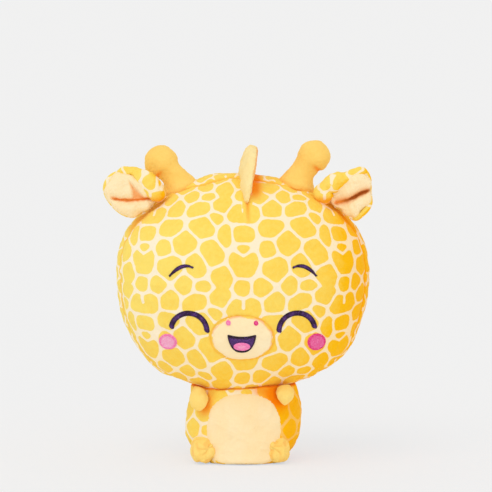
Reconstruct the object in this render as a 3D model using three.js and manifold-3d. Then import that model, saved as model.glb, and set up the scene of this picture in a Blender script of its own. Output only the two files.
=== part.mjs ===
// A small plush giraffe that stands on a flat, pellet-weighted base: a wide stuffed head with
// folded ears, two knobbed horns and a mane fin, on a short body with nub feet and arms.
// Millimetres, +Z up. The origin is the middle of the flat base and the giraffe looks along -Y.
// Left and right are the giraffe's own, so its left side is at +X.
import * as THREE from 'three';
import { mergeVertices } from 'three/addons/utils/BufferGeometryUtils.js';
import Module from 'manifold-3d';

const wasm = await Module();
wasm.setup();

// Cloth and fits
const seamGap = 0.3; // room between two pieces that are sewn or lie together
const clothWall = 1.8; // backing cloth with its plush pile
const overrun = 6; // how far a cutter runs past the piece that it cuts
const baseLift = 0.4; // the side cloth ends this far above the floor

// Body: a stuffed stump, cut flat below and dished above for the head
const bodyHalfWidth = 43;
const bodyFrontDepth = 36;
const bodyBackDepth = 34;
const bodyCentreHeight = 30; // where the body is widest
const bodyBottomReach = 36; // the rounded form would reach this far below its widest place
const bodyTopReach = 45;
const tummyHalfWidth = 27.5;
const tummyCentreHeight = 24;
const tummyTopReach = 25;
const tummyBottomReach = 38;
const basePanelThickness = 1.8;
const basePanelInset = 2.6; // the base cloth is turned in this far from the side cloth
const bagHalfWidth = 23;
const bagHalfDepth = 18;
const bagTopReach = 8;
const bagBottomReach = 5;

// Neck: a ball of filling that the head tips on, held by a ring of closing thread
const neckSeatHeight = 47.6; // the flat ring round the neck, on top of the body
const neckPivotRise = 3; // the neck ball's centre stands this far above its seat
const neckBallRadius = 14;
const threadRingRadius = 15.6;
const threadRadius = 0.7;
const headRise = 0.9; // the head's lowest point stands this far above the neck ball's centre
const neckTurnDegrees = 12;
const neckLeanDegrees = 5;
const neckNodDegrees = 5;

// Head: wider than it is deep, with full cheeks below and a flatter crown
const headHalfWidth = 94.5;
const headFrontDepth = 65;
const headBackDepth = 63;
const headTopReach = 71.5;
const headBottomReach = 91;
const seamSetback = 12; // the seam round the head runs this far in front of its middle

// Muzzle and the stitched face. Rises and drops count from the widest place of the head.
const muzzleHalfWidth = 24;
const muzzleHalfHeight = 17.3;
const muzzleDrop = 44;
const muzzleEdgeThickness = 1.6;
const muzzleCrownThickness = 5;
const threadPile = 0.9; // thickness of satin stitching
const eyeSpread = 39.8;
const eyeDrop = 38.9;
const eyeRadius = 13.2;
const eyeLineWidth = 3.3;
const eyeTiltDegrees = 4;
const browSpread = 45.7;
const browRise = 5.6;
const browRadius = 14;
const browLineWidth = 2.3;
const browSweepDegrees = 88;
const browTiltDegrees = 18;
const cheekSpread = 55.1;
const cheekDrop = 48.5;
const cheekRadius = 6.7;
const nostrilSpread = 10;
const nostrilDrop = 31.6;
const nostrilRadius = 2;
const mouthHalfWidth = 10.2;
const mouthDrop = 40.6; // to the corners of the mouth
const mouthDepth = 13.6;
const tongueHalfWidth = 6;
const tongueHalfHeight = 2.7;
const tongueDrop = 49.2;

// Horns: a flared foot, a waist and a round knob, bending outward as they rise
const hornSpread = 43;
const hornSetback = 2;
const hornFootRadius = 13.4;
const hornFootClearance = 1.6; // the foot's rim stands this far off the head
const hornWaistRadius = 8.6;
const hornKnobRadius = 12;
const hornKnobReach = 24; // from the head to the knob's centre, along the bent axis
const hornBendDegrees = 19;
const hornRootRadius = 6;

// Ears: a leaf folded lengthwise, printed cloth outside and plain lining in front
const earRootDrop = 20; // from the crown down to the ear's root
const earRootRise = headTopReach - earRootDrop;
const earLength = 38;
const earUpperReach = 22; // from the fold up to the edge
const earLowerReach = 13.5; // from the fold down to the edge
const earBackReach = 6.5; // how far the ear is puffed behind its fold
const earRimReach = 2.6; // the printed rim comes this far forward of the fold
const earLobeReach = 5.2; // the lining's two lobes come this far forward
const earFoldDepth = 2.2; // the fold sinks this far back between the lobes
const earWall = 1.8;
const earRootRadius = 5.5;
const earRootClearance = 4.2; // the leaf starts this far off the head
const earLiftDegrees = { left: 20, right: 8 };
const earForwardDegrees = { left: 16, right: 4 };

// Mane: a fin of longer pile along the middle of the head
const maneFrontDegrees = -35.5; // measured from straight up, to the back
const maneBackDegrees = 57;
const manePeakDegrees = -4;
const maneHeight = 23.4;
const maneHalfThickness = 6;
const maneRootHalfThickness = 2.8;
const maneLeanDegrees = 9.5;

// Arms, feet and tail
const armSpread = 33.5;
const armHeight = 49.3;
const armSetForward = 25;
const armLength = 14.5;
const armRootRadius = 5;
const armMidRadius = 6;
const armTipRadius = 5.2;
const armClearance = 1.2; // the arm's cloth starts this far off the body
const armSplayDegrees = 6;
const armLowDegrees = 48; // how far an arm points forward, from hanging straight down
const armHighDegrees = 83;
const armRestDegrees = { left: armHighDegrees, right: armLowDegrees };
const footSpread = 29.5;
const footSetForward = 26;
const footHeight = 10.5;
const footHalfWidth = 10.5;
const footHalfLength = 13;
const footHalfHeight = 10.2;
const tailHeight = 34;
const tailSetBack = 33;
const tailRootRadius = 4.2;
const tailCordRadius = 3;
const tailLength = 33;
const tuftRadius = 6;
const tuftLength = 16;
const tailSlopeDegrees = 38;

// How finely the stuffed forms are faceted: outer cloth, and what lies under it
const headDetail = 7;
const bodyDetail = 5;
const innerDetail = 3;
// Rings and edge points of each raised patch of the face
const patchFacets = {
  muzzle: [4, 24], cheek: [2, 14], nostril: [1, 10], mouth: [3, 20], tongue: [1, 12],
};

// Colours of the cloths and threads
const cloth = (colour) => new THREE.MeshStandardMaterial({ color: colour, roughness: 0.95, metalness: 0 });
const printCloth = cloth('#ffd65f');
const plainCloth = cloth('#ffe4b4');
const hornCloth = cloth('#fdcb6e');
const maneCloth = cloth('#ffe8a5');
const limbCloth = cloth('#ffd787');
const fillingFibre = cloth('#f6f3ea');
const pelletCloth = cloth('#e9e4d6');
const navyThread = cloth('#32235a');
const pinkThread = cloth('#f578af');
const palePinkThread = cloth('#f7a6c4');
const creamThread = cloth('#f7ecd2');

const radians = THREE.MathUtils.degToRad;
const sides = { left: 1, right: -1 };
const point = (x, y, z) => new THREE.Vector3(x, y, z);

// Solids: closed geometry in, closed geometry out
function solidOf(positions, triangles) {
  let volume = 0;
  const corner = [point(), point(), point()];
  for (let i = 0; i < triangles.length; i += 3) {
    for (let k = 0; k < 3; k++) corner[k].fromArray(positions, 3 * triangles[i + k]);
    volume += corner[0].dot(corner[1].clone().cross(corner[2]));
  }
  const faces = Uint32Array.from(triangles);
  if (volume < 0) {
    for (let i = 0; i < faces.length; i += 3) [faces[i], faces[i + 1]] = [faces[i + 1], faces[i]];
  }
  return new wasm.Manifold(new wasm.Mesh({
    numProp: 3, vertProperties: Float32Array.from(positions), triVerts: faces,
  }));
}

function solidOfGeometry(geometry) {
  const bare = geometry.clone();
  bare.deleteAttribute('normal');
  bare.deleteAttribute('uv');
  const merged = mergeVertices(bare);
  return solidOf(Array.from(merged.attributes.position.array), Array.from(merged.index.array));
}

function solidOfPoints(points, triangles) {
  return solidOf(points.flatMap((spot) => spot.toArray()), triangles);
}

function block(low, high) {
  const box = new THREE.BoxGeometry(high.x - low.x, high.y - low.y, high.z - low.z);
  box.translate((low.x + high.x) / 2, (low.y + high.y) / 2, (low.z + high.z) / 2);
  return solidOfGeometry(box);
}

function ball(radius, centre, detail) {
  const unit = mergeVertices(bareSphere(detail));
  unit.scale(radius, radius, radius);
  unit.translate(centre.x, centre.y, centre.z);
  return solidOfGeometry(unit);
}

function bareSphere(detail) {
  const sphere = new THREE.IcosahedronGeometry(1, detail);
  sphere.deleteAttribute('normal');
  sphere.deleteAttribute('uv');
  return sphere;
}

// Joins rings of points into one closed skin, with both ends capped round their middle
function loft(rings) {
  const count = rings[0].length;
  const points = rings.flat();
  const triangles = [];
  for (let ring = 0; ring + 1 < rings.length; ring++) {
    for (let side = 0; side < count; side++) {
      const here = ring * count + side;
      const next = ring * count + ((side + 1) % count);
      triangles.push(here, next, next + count, here, next + count, here + count);
    }
  }
  for (const [ring, first] of [[0, true], [rings.length - 1, false]]) {
    const hub = points.length;
    points.push(rings[ring].reduce((sum, spot) => sum.add(spot), point()).divideScalar(count));
    for (let side = 0; side < count; side++) {
      const here = ring * count + side;
      const next = ring * count + ((side + 1) % count);
      triangles.push(...(first ? [hub, next, here] : [hub, here, next]));
    }
  }
  return solidOfPoints(points, triangles);
}

// Rings of given radii, strung along the Z axis; way is 1 for up or -1 for down
function ringsAlong(stations, way, count) {
  return stations.map(([along, radius]) => ringAround(
    point(0, 0, way * along), point(radius, 0, 0), point(0, radius, 0), count));
}

// A ring of points round a centre, from two half axes
function ringAround(centre, across, along, count) {
  return Array.from({ length: count }, (unused, side) => {
    const angle = (2 * Math.PI * side) / count;
    return centre.clone().addScaledVector(across, Math.cos(angle)).addScaledVector(along, Math.sin(angle));
  });
}

// Stuffed forms: a rounded shape with its own reach each way from its widest place
const bodyForm = {
  centreHeight: bodyCentreHeight,
  halfWidth: bodyHalfWidth, frontDepth: bodyFrontDepth, backDepth: bodyBackDepth,
  topReach: bodyTopReach, bottomReach: bodyBottomReach,
  planPower: 2.2, topPower: 3.2, bottomPower: 3.2,
};
const headForm = {
  centreHeight: 0, // the head is built in its own group, round its widest place
  halfWidth: headHalfWidth, frontDepth: headFrontDepth, backDepth: headBackDepth,
  topReach: headTopReach, bottomReach: headBottomReach,
  planPower: 2.1, topPower: 2.05, bottomPower: 2.3,
};

// How far the form reaches along a direction from its centre
function reachTowards(form, direction, inset) {
  const x = Math.abs(direction.x) / (form.halfWidth - inset);
  const y = Math.abs(direction.y) / ((direction.y < 0 ? form.frontDepth : form.backDepth) - inset);
  const z = Math.abs(direction.z) / ((direction.z > 0 ? form.topReach : form.bottomReach) - inset);
  const power = direction.z > 0 ? form.topPower : form.bottomPower;
  const plan = (x ** form.planPower + y ** form.planPower) ** (1 / form.planPower);
  return (plan ** power + z ** power) ** (-1 / power);
}

function stuffedShape(form, inset, detail) {
  const sphere = mergeVertices(bareSphere(detail));
  const spots = sphere.attributes.position;
  const direction = point();
  for (let i = 0; i < spots.count; i++) {
    direction.fromBufferAttribute(spots, i).normalize();
    direction.multiplyScalar(reachTowards(form, direction, inset));
    spots.setXYZ(i, direction.x, direction.y, direction.z + form.centreHeight);
  }
  return sphere;
}

const stuffedForm = (form, inset, detail) => solidOfGeometry(stuffedShape(form, inset, detail));

// Places on the head's cloth, counted from its widest place
function planReach(z) {
  const { topPower, bottomPower } = headForm;
  const [reach, power] = z > 0 ? [headTopReach, topPower] : [headBottomReach, bottomPower];
  return Math.max(0, 1 - (Math.abs(z) / reach) ** power) ** (1 / power);
}

function headSide(y, z) {
  const { planPower } = headForm;
  const used = (Math.abs(y) / headFrontDepth) ** planPower;
  return headHalfWidth * (planReach(z) ** planPower - used) ** (1 / planPower);
}

function headFront(x, z) {
  const { planPower } = headForm;
  const rest = planReach(z) ** planPower - (Math.abs(x) / headHalfWidth) ** planPower;
  return -headFrontDepth * Math.max(0, rest) ** (1 / planPower);
}

function planShare(x, y) {
  const depth = y < 0 ? headFrontDepth : headBackDepth;
  const { planPower } = headForm;
  const sum = (Math.abs(x) / headHalfWidth) ** planPower + (Math.abs(y) / depth) ** planPower;
  return Math.min(1, sum ** (1 / planPower));
}

function headTop(x, y) {
  return headTopReach * (1 - planShare(x, y) ** headForm.topPower) ** (1 / headForm.topPower);
}

function headUnderside(x, y) {
  return -headBottomReach * (1 - planShare(x, y) ** headForm.bottomPower) ** (1 / headForm.bottomPower);
}

function headNormal(spot) {
  const { planPower } = headForm;
  const power = spot.z > 0 ? headForm.topPower : headForm.bottomPower;
  const depth = spot.y < 0 ? headFrontDepth : headBackDepth;
  const x = Math.abs(spot.x) / headHalfWidth;
  const y = Math.abs(spot.y) / depth;
  const z = Math.abs(spot.z) / (spot.z > 0 ? headTopReach : headBottomReach);
  const plan = (x ** planPower + y ** planPower) ** (power / planPower - 1);
  return point(
    (Math.sign(spot.x) * plan * x ** (planPower - 1)) / headHalfWidth,
    (Math.sign(spot.y) * plan * y ** (planPower - 1)) / depth,
    (Math.sign(spot.z) * z ** (power - 1)) / (spot.z > 0 ? headTopReach : headBottomReach),
  ).normalize();
}

// Heights of the neck, and of the head above it
const neckPivotHeight = neckSeatHeight + neckPivotRise;
const headHeight = neckPivotHeight + headRise + headBottomReach;
const neckPivotInHead = point(0, 0, -headBottomReach - headRise);

const giraffe = new THREE.Group();
const headGroup = new THREE.Group();
headGroup.position.z = headHeight;
giraffe.add(headGroup);

function addPiece(group, name, material, solid) {
  const mesh = solid.getMesh();
  const geometry = new THREE.BufferGeometry();
  geometry.setAttribute('position', new THREE.BufferAttribute(mesh.vertProperties, 3));
  geometry.setIndex(new THREE.BufferAttribute(mesh.triVerts, 1));
  geometry.computeVertexNormals();
  const piece = new THREE.Mesh(geometry, material);
  piece.name = name;
  group.add(piece);
  return piece;
}

// Where each limb is rooted: its place, and the group that carries it
function rootOf(group, place, turn) {
  const root = new THREE.Group();
  root.position.copy(place);
  root.quaternion.copy(turn);
  group.add(root);
  return root;
}

// The room that the body takes, as seen by a limb at this place and turn
function bodyRoomFrom(place, turn) {
  const frame = new THREE.Matrix4().compose(place, turn, point(1, 1, 1));
  return solidOfGeometry(stuffedShape(bodyForm, -seamGap, bodyDetail).applyMatrix4(frame.invert()));
}

const up = point(0, 0, 1);
const hornPlaces = {};
const earPlaces = {};
const armPlaces = {};
for (const [side, sign] of Object.entries(sides)) {
  hornPlaces[side] = point(sign * hornSpread, hornSetback, headTop(hornSpread, hornSetback));
  earPlaces[side] = point(sign * headSide(seamSetback, earRootRise), -seamSetback, earRootRise);
  armPlaces[side] = point(sign * armSpread, -armSetForward, armHeight);
}
const tailPlace = point(0, tailSetBack, tailHeight);
const neckPlace = point(0, 0, neckPivotHeight);

// Hollows that take the roots of the limbs and the neck ball
const socket = (place, radius) => ball(radius + seamGap, place, 2);
const headSockets = [ball(neckBallRadius + seamGap, neckPivotInHead, 3)];
for (const side of Object.keys(sides)) {
  headSockets.push(socket(hornPlaces[side], hornRootRadius), socket(earPlaces[side], earRootRadius));
}
const bodySockets = [ball(neckBallRadius + seamGap, neckPlace, 3), socket(tailPlace, tailRootRadius)];
for (const side of Object.keys(sides)) bodySockets.push(socket(armPlaces[side], armRootRadius));
const cutAll = (solid, cutters) => cutters.reduce((rest, cutter) => rest.subtract(cutter), solid);

// The dish on top of the body follows the lowest that the head comes at any turn and tilt
function dishHeight(radius, angle) {
  let lowest = Infinity;
  for (const turn of [-1, 0, 1]) {
    const heading = angle + turn * radians(neckTurnDegrees);
    const tilt = Math.abs(Math.cos(heading)) * radians(neckLeanDegrees)
      + Math.abs(Math.sin(heading)) * radians(neckNodDegrees);
    const under = (reach) => (
      headUnderside(reach * Math.cos(heading), reach * Math.sin(heading)) - neckPivotInHead.z);
    const drawnIn = radius - under(radius) * Math.sin(tilt);
    lowest = Math.min(lowest, under(drawnIn) * Math.cos(tilt) - radius * Math.sin(tilt));
  }
  return Math.max(neckSeatHeight, neckPivotHeight + lowest - seamGap);
}

function dishCutter(sink) {
  const steps = 3;
  const around = 20;
  const seatRadius = threadRingRadius + 2 * threadRadius;
  const ceiling = bodyCentreHeight + bodyTopReach + overrun;
  const layers = [];
  for (let step = 0; step <= steps; step++) {
    layers.push(Array.from({ length: around }, (unused, side) => {
      const angle = (2 * Math.PI * side) / around;
      const reach = Math.hypot(
        Math.cos(angle) * (bodyHalfWidth + overrun), Math.sin(angle) * (bodyFrontDepth + overrun));
      const radius = seatRadius + (reach - seatRadius) * (step / steps);
      const height = step === 0 ? neckSeatHeight : dishHeight(radius, angle);
      return point(radius * Math.cos(angle), radius * Math.sin(angle), height - sink);
    }));
  }
  layers.push(layers[steps].map((spot) => point(spot.x, spot.y, ceiling)));
  return loft(layers);
}

// Body cloth, its tummy patch and its base
function tummyRoom(growth) {
  const outline = new THREE.Shape();
  const halfWidth = tummyHalfWidth + growth;
  outline.absellipse(0, tummyCentreHeight, halfWidth, tummyTopReach + growth, 0, Math.PI);
  outline.absellipse(0, tummyCentreHeight, halfWidth, tummyBottomReach + growth, Math.PI, 2 * Math.PI);
  const prism = new THREE.ExtrudeGeometry(outline, {
    depth: bodyFrontDepth + overrun, bevelEnabled: false, curveSegments: 8, steps: 1,
  });
  prism.rotateX(Math.PI / 2);
  return solidOfGeometry(prism).subtract(stuffedForm(bodyForm, clothWall + growth, innerDetail));
}

function buildBody() {
  const wide = bodyHalfWidth + overrun;
  const deep = bodyFrontDepth + bodyBackDepth;
  const low = -bodyBottomReach;
  const high = bodyCentreHeight + bodyTopReach + overrun;
  const belowAt = (height) => block(point(-wide, -deep, low), point(wide, deep, height));
  const outside = stuffedForm(bodyForm, 0, bodyDetail).subtract(belowAt(baseLift)).subtract(dishCutter(0));
  const inside = stuffedForm(bodyForm, clothWall, innerDetail).subtract(dishCutter(clothWall));
  const skin = cutAll(outside.subtract(inside), bodySockets);
  const sideCloth = skin.subtract(tummyRoom(seamGap));
  addPiece(giraffe, 'tummy_panel', plainCloth, skin.intersect(tummyRoom(0)));
  addPiece(giraffe, 'body_left_panel', printCloth,
    sideCloth.intersect(block(point(seamGap / 2, -deep, low), point(wide, deep, high))));
  addPiece(giraffe, 'body_right_panel', printCloth,
    sideCloth.intersect(block(point(-wide, -deep, low), point(-seamGap / 2, deep, high))));

  // The base cloth keeps its turned-in distance from the side cloth at floor height
  const { bottomPower } = bodyForm;
  const floorShare = (1 - (bodyCentreHeight / bodyBottomReach) ** bottomPower) ** (1 / bottomPower);
  const shrink = clothWall + basePanelInset;
  const oval = new THREE.Shape();
  const [halfWidth, halfDepth] = [bodyHalfWidth, bodyBackDepth].map((half) => half * floorShare - shrink);
  oval.absellipse(0, 0, halfWidth, halfDepth, 0, 2 * Math.PI);
  const panel = new THREE.ExtrudeGeometry(oval, {
    depth: basePanelThickness, bevelEnabled: false, curveSegments: 16, steps: 1,
  });
  addPiece(giraffe, 'base_panel', plainCloth, solidOfGeometry(panel));

  const bagForm = {
    centreHeight: basePanelThickness + seamGap + bagBottomReach,
    halfWidth: bagHalfWidth, frontDepth: bagHalfDepth, backDepth: bagHalfDepth,
    topReach: bagTopReach, bottomReach: bagBottomReach,
    planPower: 2.4, topPower: 2.2, bottomPower: 4,
  };
  const recessForm = { ...bagForm, bottomReach: bagBottomReach + overrun };
  addPiece(giraffe, 'pellet_bag', pelletCloth, stuffedForm(bagForm, 0, 2));
  const filling = stuffedForm(bodyForm, clothWall + seamGap, innerDetail)
    .subtract(belowAt(basePanelThickness + seamGap))
    .subtract(dishCutter(clothWall + seamGap))
    .subtract(stuffedForm(recessForm, -seamGap, 2));
  addPiece(giraffe, 'body_filling', fillingFibre, cutAll(filling, bodySockets));
}

function buildFeet() {
  const bodyRoom = stuffedForm(bodyForm, -seamGap, bodyDetail);
  for (const [side, sign] of Object.entries(sides)) {
    const toe = mergeVertices(bareSphere(3));
    toe.scale(footHalfWidth, footHalfLength, footHalfHeight);
    toe.translate(sign * footSpread, -footSetForward, footHeight);
    const foot = solidOfGeometry(toe).subtract(bodyRoom);
    addPiece(giraffe, `foot_${side}`, limbCloth, foot);
  }
}

function buildArms() {
  const stations = [
    [armClearance, armRootRadius * 0.4], [armClearance, armRootRadius],
    [armLength * 0.45, armMidRadius], [armLength * 0.75, armMidRadius],
  ];
  const tipStart = armLength - armTipRadius * 0.6;
  const tipTurns = 4;
  for (let step = 1; step <= tipTurns; step++) {
    const angle = (step / tipTurns) * (Math.PI / 2) * 0.93; // the tip ends in a small flat
    stations.push([tipStart + armTipRadius * Math.sin(angle), armTipRadius * Math.cos(angle) * 1.05]);
  }
  const arm = loft(ringsAlong(stations, -1, 14));
  for (const [side, sign] of Object.entries(sides)) {
    const turned = (degrees) => new THREE.Quaternion().setFromEuler(
      new THREE.Euler(-radians(degrees), -sign * radians(armSplayDegrees), 0));
    const rooms = [armLowDegrees, armHighDegrees].map(
      (degrees) => bodyRoomFrom(armPlaces[side], turned(degrees)));
    const root = rootOf(giraffe, armPlaces[side], turned(armRestDegrees[side]));
    const seated = cutAll(arm, rooms).add(ball(armRootRadius, point(), 1));
    addPiece(root, `arm_${side}`, limbCloth, seated);
  }
}

function buildTail() {
  const turn = new THREE.Quaternion().setFromAxisAngle(point(1, 0, 0), radians(tailSlopeDegrees));
  const root = rootOf(giraffe, tailPlace, turn);
  const tuftStart = tailLength - tuftLength;
  const cordStations = [
    [0, tailRootRadius * 0.7], [tailRootRadius, tailCordRadius], [tuftStart - seamGap, tailCordRadius * 0.9],
  ];
  const cord = loft(ringsAlong(cordStations, -1, 12)).subtract(bodyRoomFrom(tailPlace, turn))
    .add(ball(tailRootRadius, point(), 1));
  const tuftShares = [0, 0.08, 0.25, 0.45, 0.65, 0.82, 0.94, 1];
  const tuftStations = tuftShares.map((share) => {
    const swell = Math.sin(Math.PI * share ** 0.8) ** 0.7;
    return [tuftStart + tuftLength * share, Math.max(tailCordRadius * 0.3, tuftRadius * swell)];
  });
  addPiece(root, 'tail_cord', printCloth, cord);
  addPiece(root, 'tail_tuft', maneCloth, loft(ringsAlong(tuftStations, -1, 12)));
}

function buildNeck() {
  addPiece(giraffe, 'neck_filling', fillingFibre, ball(neckBallRadius, neckPlace, 2));
  const ring = new THREE.TorusGeometry(threadRingRadius, threadRadius, 6, 24);
  ring.translate(0, 0, neckSeatHeight + seamGap + threadRadius);
  addPiece(giraffe, 'neck_thread_ring', creamThread, solidOfGeometry(ring));
}

// Head cloth in three panels over its filling
function buildHead() {
  const wide = headHalfWidth + overrun;
  const deep = headFrontDepth + headBackDepth;
  const tall = headTopReach + headBottomReach;
  const shell = stuffedForm(headForm, 0, headDetail).subtract(stuffedForm(headForm, clothWall, innerDetail));
  const skin = cutAll(shell, headSockets);
  const seam = -seamSetback;
  addPiece(headGroup, 'head_front_panel', printCloth,
    skin.intersect(block(point(-wide, -deep, -tall), point(wide, seam - seamGap / 2, tall))));
  addPiece(headGroup, 'head_back_left_panel', printCloth,
    skin.intersect(block(point(seamGap / 2, seam + seamGap / 2, -tall), point(wide, deep, tall))));
  addPiece(headGroup, 'head_back_right_panel', printCloth,
    skin.intersect(block(point(-wide, seam + seamGap / 2, -tall), point(-seamGap / 2, deep, tall))));
  addPiece(headGroup, 'head_filling', fillingFibre,
    cutAll(stuffedForm(headForm, clothWall + seamGap, innerDetail), headSockets));
}

// Face: raised patches and satin-stitched lines that follow the front of the head
function onFace(x, z, lift) {
  const spot = point(x, headFront(x, z), z);
  return spot.addScaledVector(headNormal(spot), lift);
}

// middle is the patch's centre, edge(angle) its outline from there; lifts take the share out to the edge
function raisedPatch(middle, edge, base, top, rings, around) {
  const points = [];
  const triangles = [];
  for (const lift of [top, base]) {
    const start = points.length;
    points.push(onFace(middle.x, middle.z, lift(middle.x, middle.z, 0)));
    for (let ring = 1; ring <= rings; ring++) {
      for (let side = 0; side < around; side++) {
        const out = edge((2 * Math.PI * side) / around);
        const share = ring / rings;
        const [x, z] = [middle.x + out.x * share, middle.z + out.z * share];
        points.push(onFace(x, z, lift(x, z, share)));
        const here = start + 1 + (ring - 1) * around + side;
        const next = start + 1 + (ring - 1) * around + ((side + 1) % around);
        const cell = ring === 1 ? [start, here, next]
          : [here - around, here, next, here - around, next, next - around];
        triangles.push(...(lift === top ? cell : cell.reverse()));
      }
    }
  }
  const topRim = 1 + (rings - 1) * around;
  const baseRim = topRim + points.length / 2;
  for (let side = 0; side < around; side++) {
    const next = (side + 1) % around;
    triangles.push(topRim + side, baseRim + side, baseRim + next);
    triangles.push(topRim + side, baseRim + next, topRim + next);
  }
  return solidOfPoints(points, triangles);
}

const ovalEdge = (halfWidth, halfHeight) => (angle) => (
  { x: halfWidth * Math.cos(angle), z: halfHeight * Math.sin(angle) });
const clear = () => seamGap;
const stitched = () => seamGap + threadPile;

// A band of satin stitch along an arc; width(share) narrows it towards its ends
function stitchedArc(centre, radius, fromAngle, toAngle, steps, width) {
  const crossShares = [-1, -0.55, 0.55, 1];
  const rings = [];
  for (let step = 0; step <= steps; step++) {
    const share = step / steps;
    const angle = fromAngle + (toAngle - fromAngle) * share;
    const half = width(share) / 2;
    const across = crossShares.map((place) => radius + place * half);
    const spotAt = (reach, lift) => onFace(
      centre.x + reach * Math.cos(angle), centre.z + reach * Math.sin(angle), lift);
    rings.push([
      spotAt(across[0], seamGap), spotAt(across[1], seamGap + threadPile),
      spotAt(across[2], seamGap + threadPile), spotAt(across[3], seamGap),
    ]);
  }
  return loft(rings);
}

function muzzleTop(x, z) {
  const share = Math.min(1, Math.hypot(x / muzzleHalfWidth, (z + muzzleDrop) / muzzleHalfHeight));
  return seamGap + muzzleEdgeThickness + (muzzleCrownThickness - muzzleEdgeThickness) * (1 - share ** 2);
}

function buildFace() {
  addPiece(headGroup, 'muzzle_patch', plainCloth, raisedPatch({ x: 0, z: -muzzleDrop },
    ovalEdge(muzzleHalfWidth, muzzleHalfHeight), clear, muzzleTop, ...patchFacets.muzzle));
  for (const [side, sign] of Object.entries(sides)) {
    const turn = (degrees) => (sign > 0 ? radians(degrees) : Math.PI - radians(degrees));
    addPiece(headGroup, `eye_${side}`, navyThread, stitchedArc(
      { x: sign * eyeSpread, z: -eyeDrop }, eyeRadius, turn(eyeTiltDegrees), turn(180 + eyeTiltDegrees), 12,
      (share) => eyeLineWidth * (0.55 + 0.45 * Math.sin(Math.PI * share) ** 0.4)));
    const browMiddle = 90 - browTiltDegrees;
    addPiece(headGroup, `brow_${side}`, navyThread, stitchedArc(
      { x: sign * browSpread, z: browRise - browRadius + browLineWidth }, browRadius,
      turn(browMiddle - browSweepDegrees / 2), turn(browMiddle + browSweepDegrees / 2), 7,
      (share) => browLineWidth * (0.35 + 0.65 * Math.sin(Math.PI * share))));
    addPiece(headGroup, `cheek_${side}`, sign > 0 ? pinkThread : palePinkThread, raisedPatch(
      { x: sign * cheekSpread, z: -cheekDrop }, ovalEdge(cheekRadius, cheekRadius), clear, stitched,
      ...patchFacets.cheek));
    addPiece(headGroup, `nostril_${side}`, pinkThread,
      raisedPatch({ x: sign * nostrilSpread, z: -nostrilDrop }, ovalEdge(nostrilRadius, nostrilRadius),
        (x, z) => muzzleTop(x, z) + seamGap, (x, z) => muzzleTop(x, z) + seamGap + threadPile,
        ...patchFacets.nostril));
  }
  const mouthEdge = (angle) => ({
    x: mouthHalfWidth * Math.cos(angle),
    z: Math.sin(angle) * (angle < Math.PI ? mouthDepth * 0.16 : mouthDepth * 0.84),
  });
  const overMuzzle = (x, z) => muzzleTop(x, z) + seamGap;
  const overMouth = (x, z) => overMuzzle(x, z) + threadPile + seamGap;
  addPiece(headGroup, 'mouth', navyThread, raisedPatch({ x: 0, z: -mouthDrop - mouthDepth * 0.16 },
    mouthEdge, overMuzzle, (x, z) => overMuzzle(x, z) + threadPile, ...patchFacets.mouth));
  addPiece(headGroup, 'tongue', pinkThread, raisedPatch({ x: 0, z: -tongueDrop },
    ovalEdge(tongueHalfWidth, tongueHalfHeight), overMouth, (x, z) => overMouth(x, z) + threadPile,
    ...patchFacets.tongue));
}

// A horn stands square on the head, then bends outward; its own group's Z is the head's normal
function buildHorns() {
  const waistShares = [0, 0.15, 0.35, 0.6]; // where the rings lie between foot and knob
  for (const [side, sign] of Object.entries(sides)) {
    const place = hornPlaces[side];
    const root = rootOf(headGroup, place, new THREE.Quaternion().setFromUnitVectors(up, headNormal(place)));
    const knobStart = hornKnobReach - Math.sqrt(hornKnobRadius ** 2 - hornWaistRadius ** 2);
    const profile = [];
    for (const share of waistShares) {
      const along = hornFootClearance + (knobStart - hornFootClearance) * share;
      profile.push([along, hornWaistRadius + (hornFootRadius - hornWaistRadius) * (1 - share) ** 2.4]);
    }
    const startAngle = Math.asin(hornWaistRadius / hornKnobRadius);
    for (let step = 0; step <= 6; step++) {
      const angle = startAngle + (Math.PI * 0.97 - startAngle) * (step / 6);
      profile.push([hornKnobReach - hornKnobRadius * Math.cos(angle), hornKnobRadius * Math.sin(angle)]);
    }
    const centre = point(0, 0, 0);
    let before = 0;
    const rings = profile.map(([along, radius]) => {
      const bend = sign * radians(hornBendDegrees) * THREE.MathUtils.smoothstep(along, 0, knobStart);
      const forward = point(Math.sin(bend), 0, Math.cos(bend));
      centre.addScaledVector(forward, along - before);
      before = along;
      const across = point(forward.z, 0, -forward.x).multiplyScalar(radius);
      return ringAround(centre, across, point(0, radius, 0), 16);
    });
    addPiece(root, `horn_${side}`, hornCloth, loft(rings).add(ball(hornRootRadius, point(), 1)));
  }
}

// Ear sections stand across the ear's own X axis: Z up, -Y to the front, the fold at zero
function earSize(along, lean) {
  const start = earRootClearance / Math.cos(lean);
  const share = THREE.MathUtils.clamp((along - start) / (earLength - start), 0, 1);
  const full = share < 0.5 ? Math.sin(Math.PI * share) ** 0.8 : (1 - (2 * share - 1) ** 2.4) ** (1 / 2.4);
  const spread = share < 0.5 ? 0.46 + 0.54 * full : full;
  const room = (along * Math.cos(lean) - earRootClearance) / Math.sin(lean); // down to the head's slope
  return {
    upper: earUpperReach * spread,
    lower: Math.max(earWall * 0.8, Math.min(earLowerReach * spread, room)),
    puff: 0.45 + 0.55 * Math.sin(Math.PI * Math.min(1, share * 0.92 + 0.04)) ** 0.6,
  };
}

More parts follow.
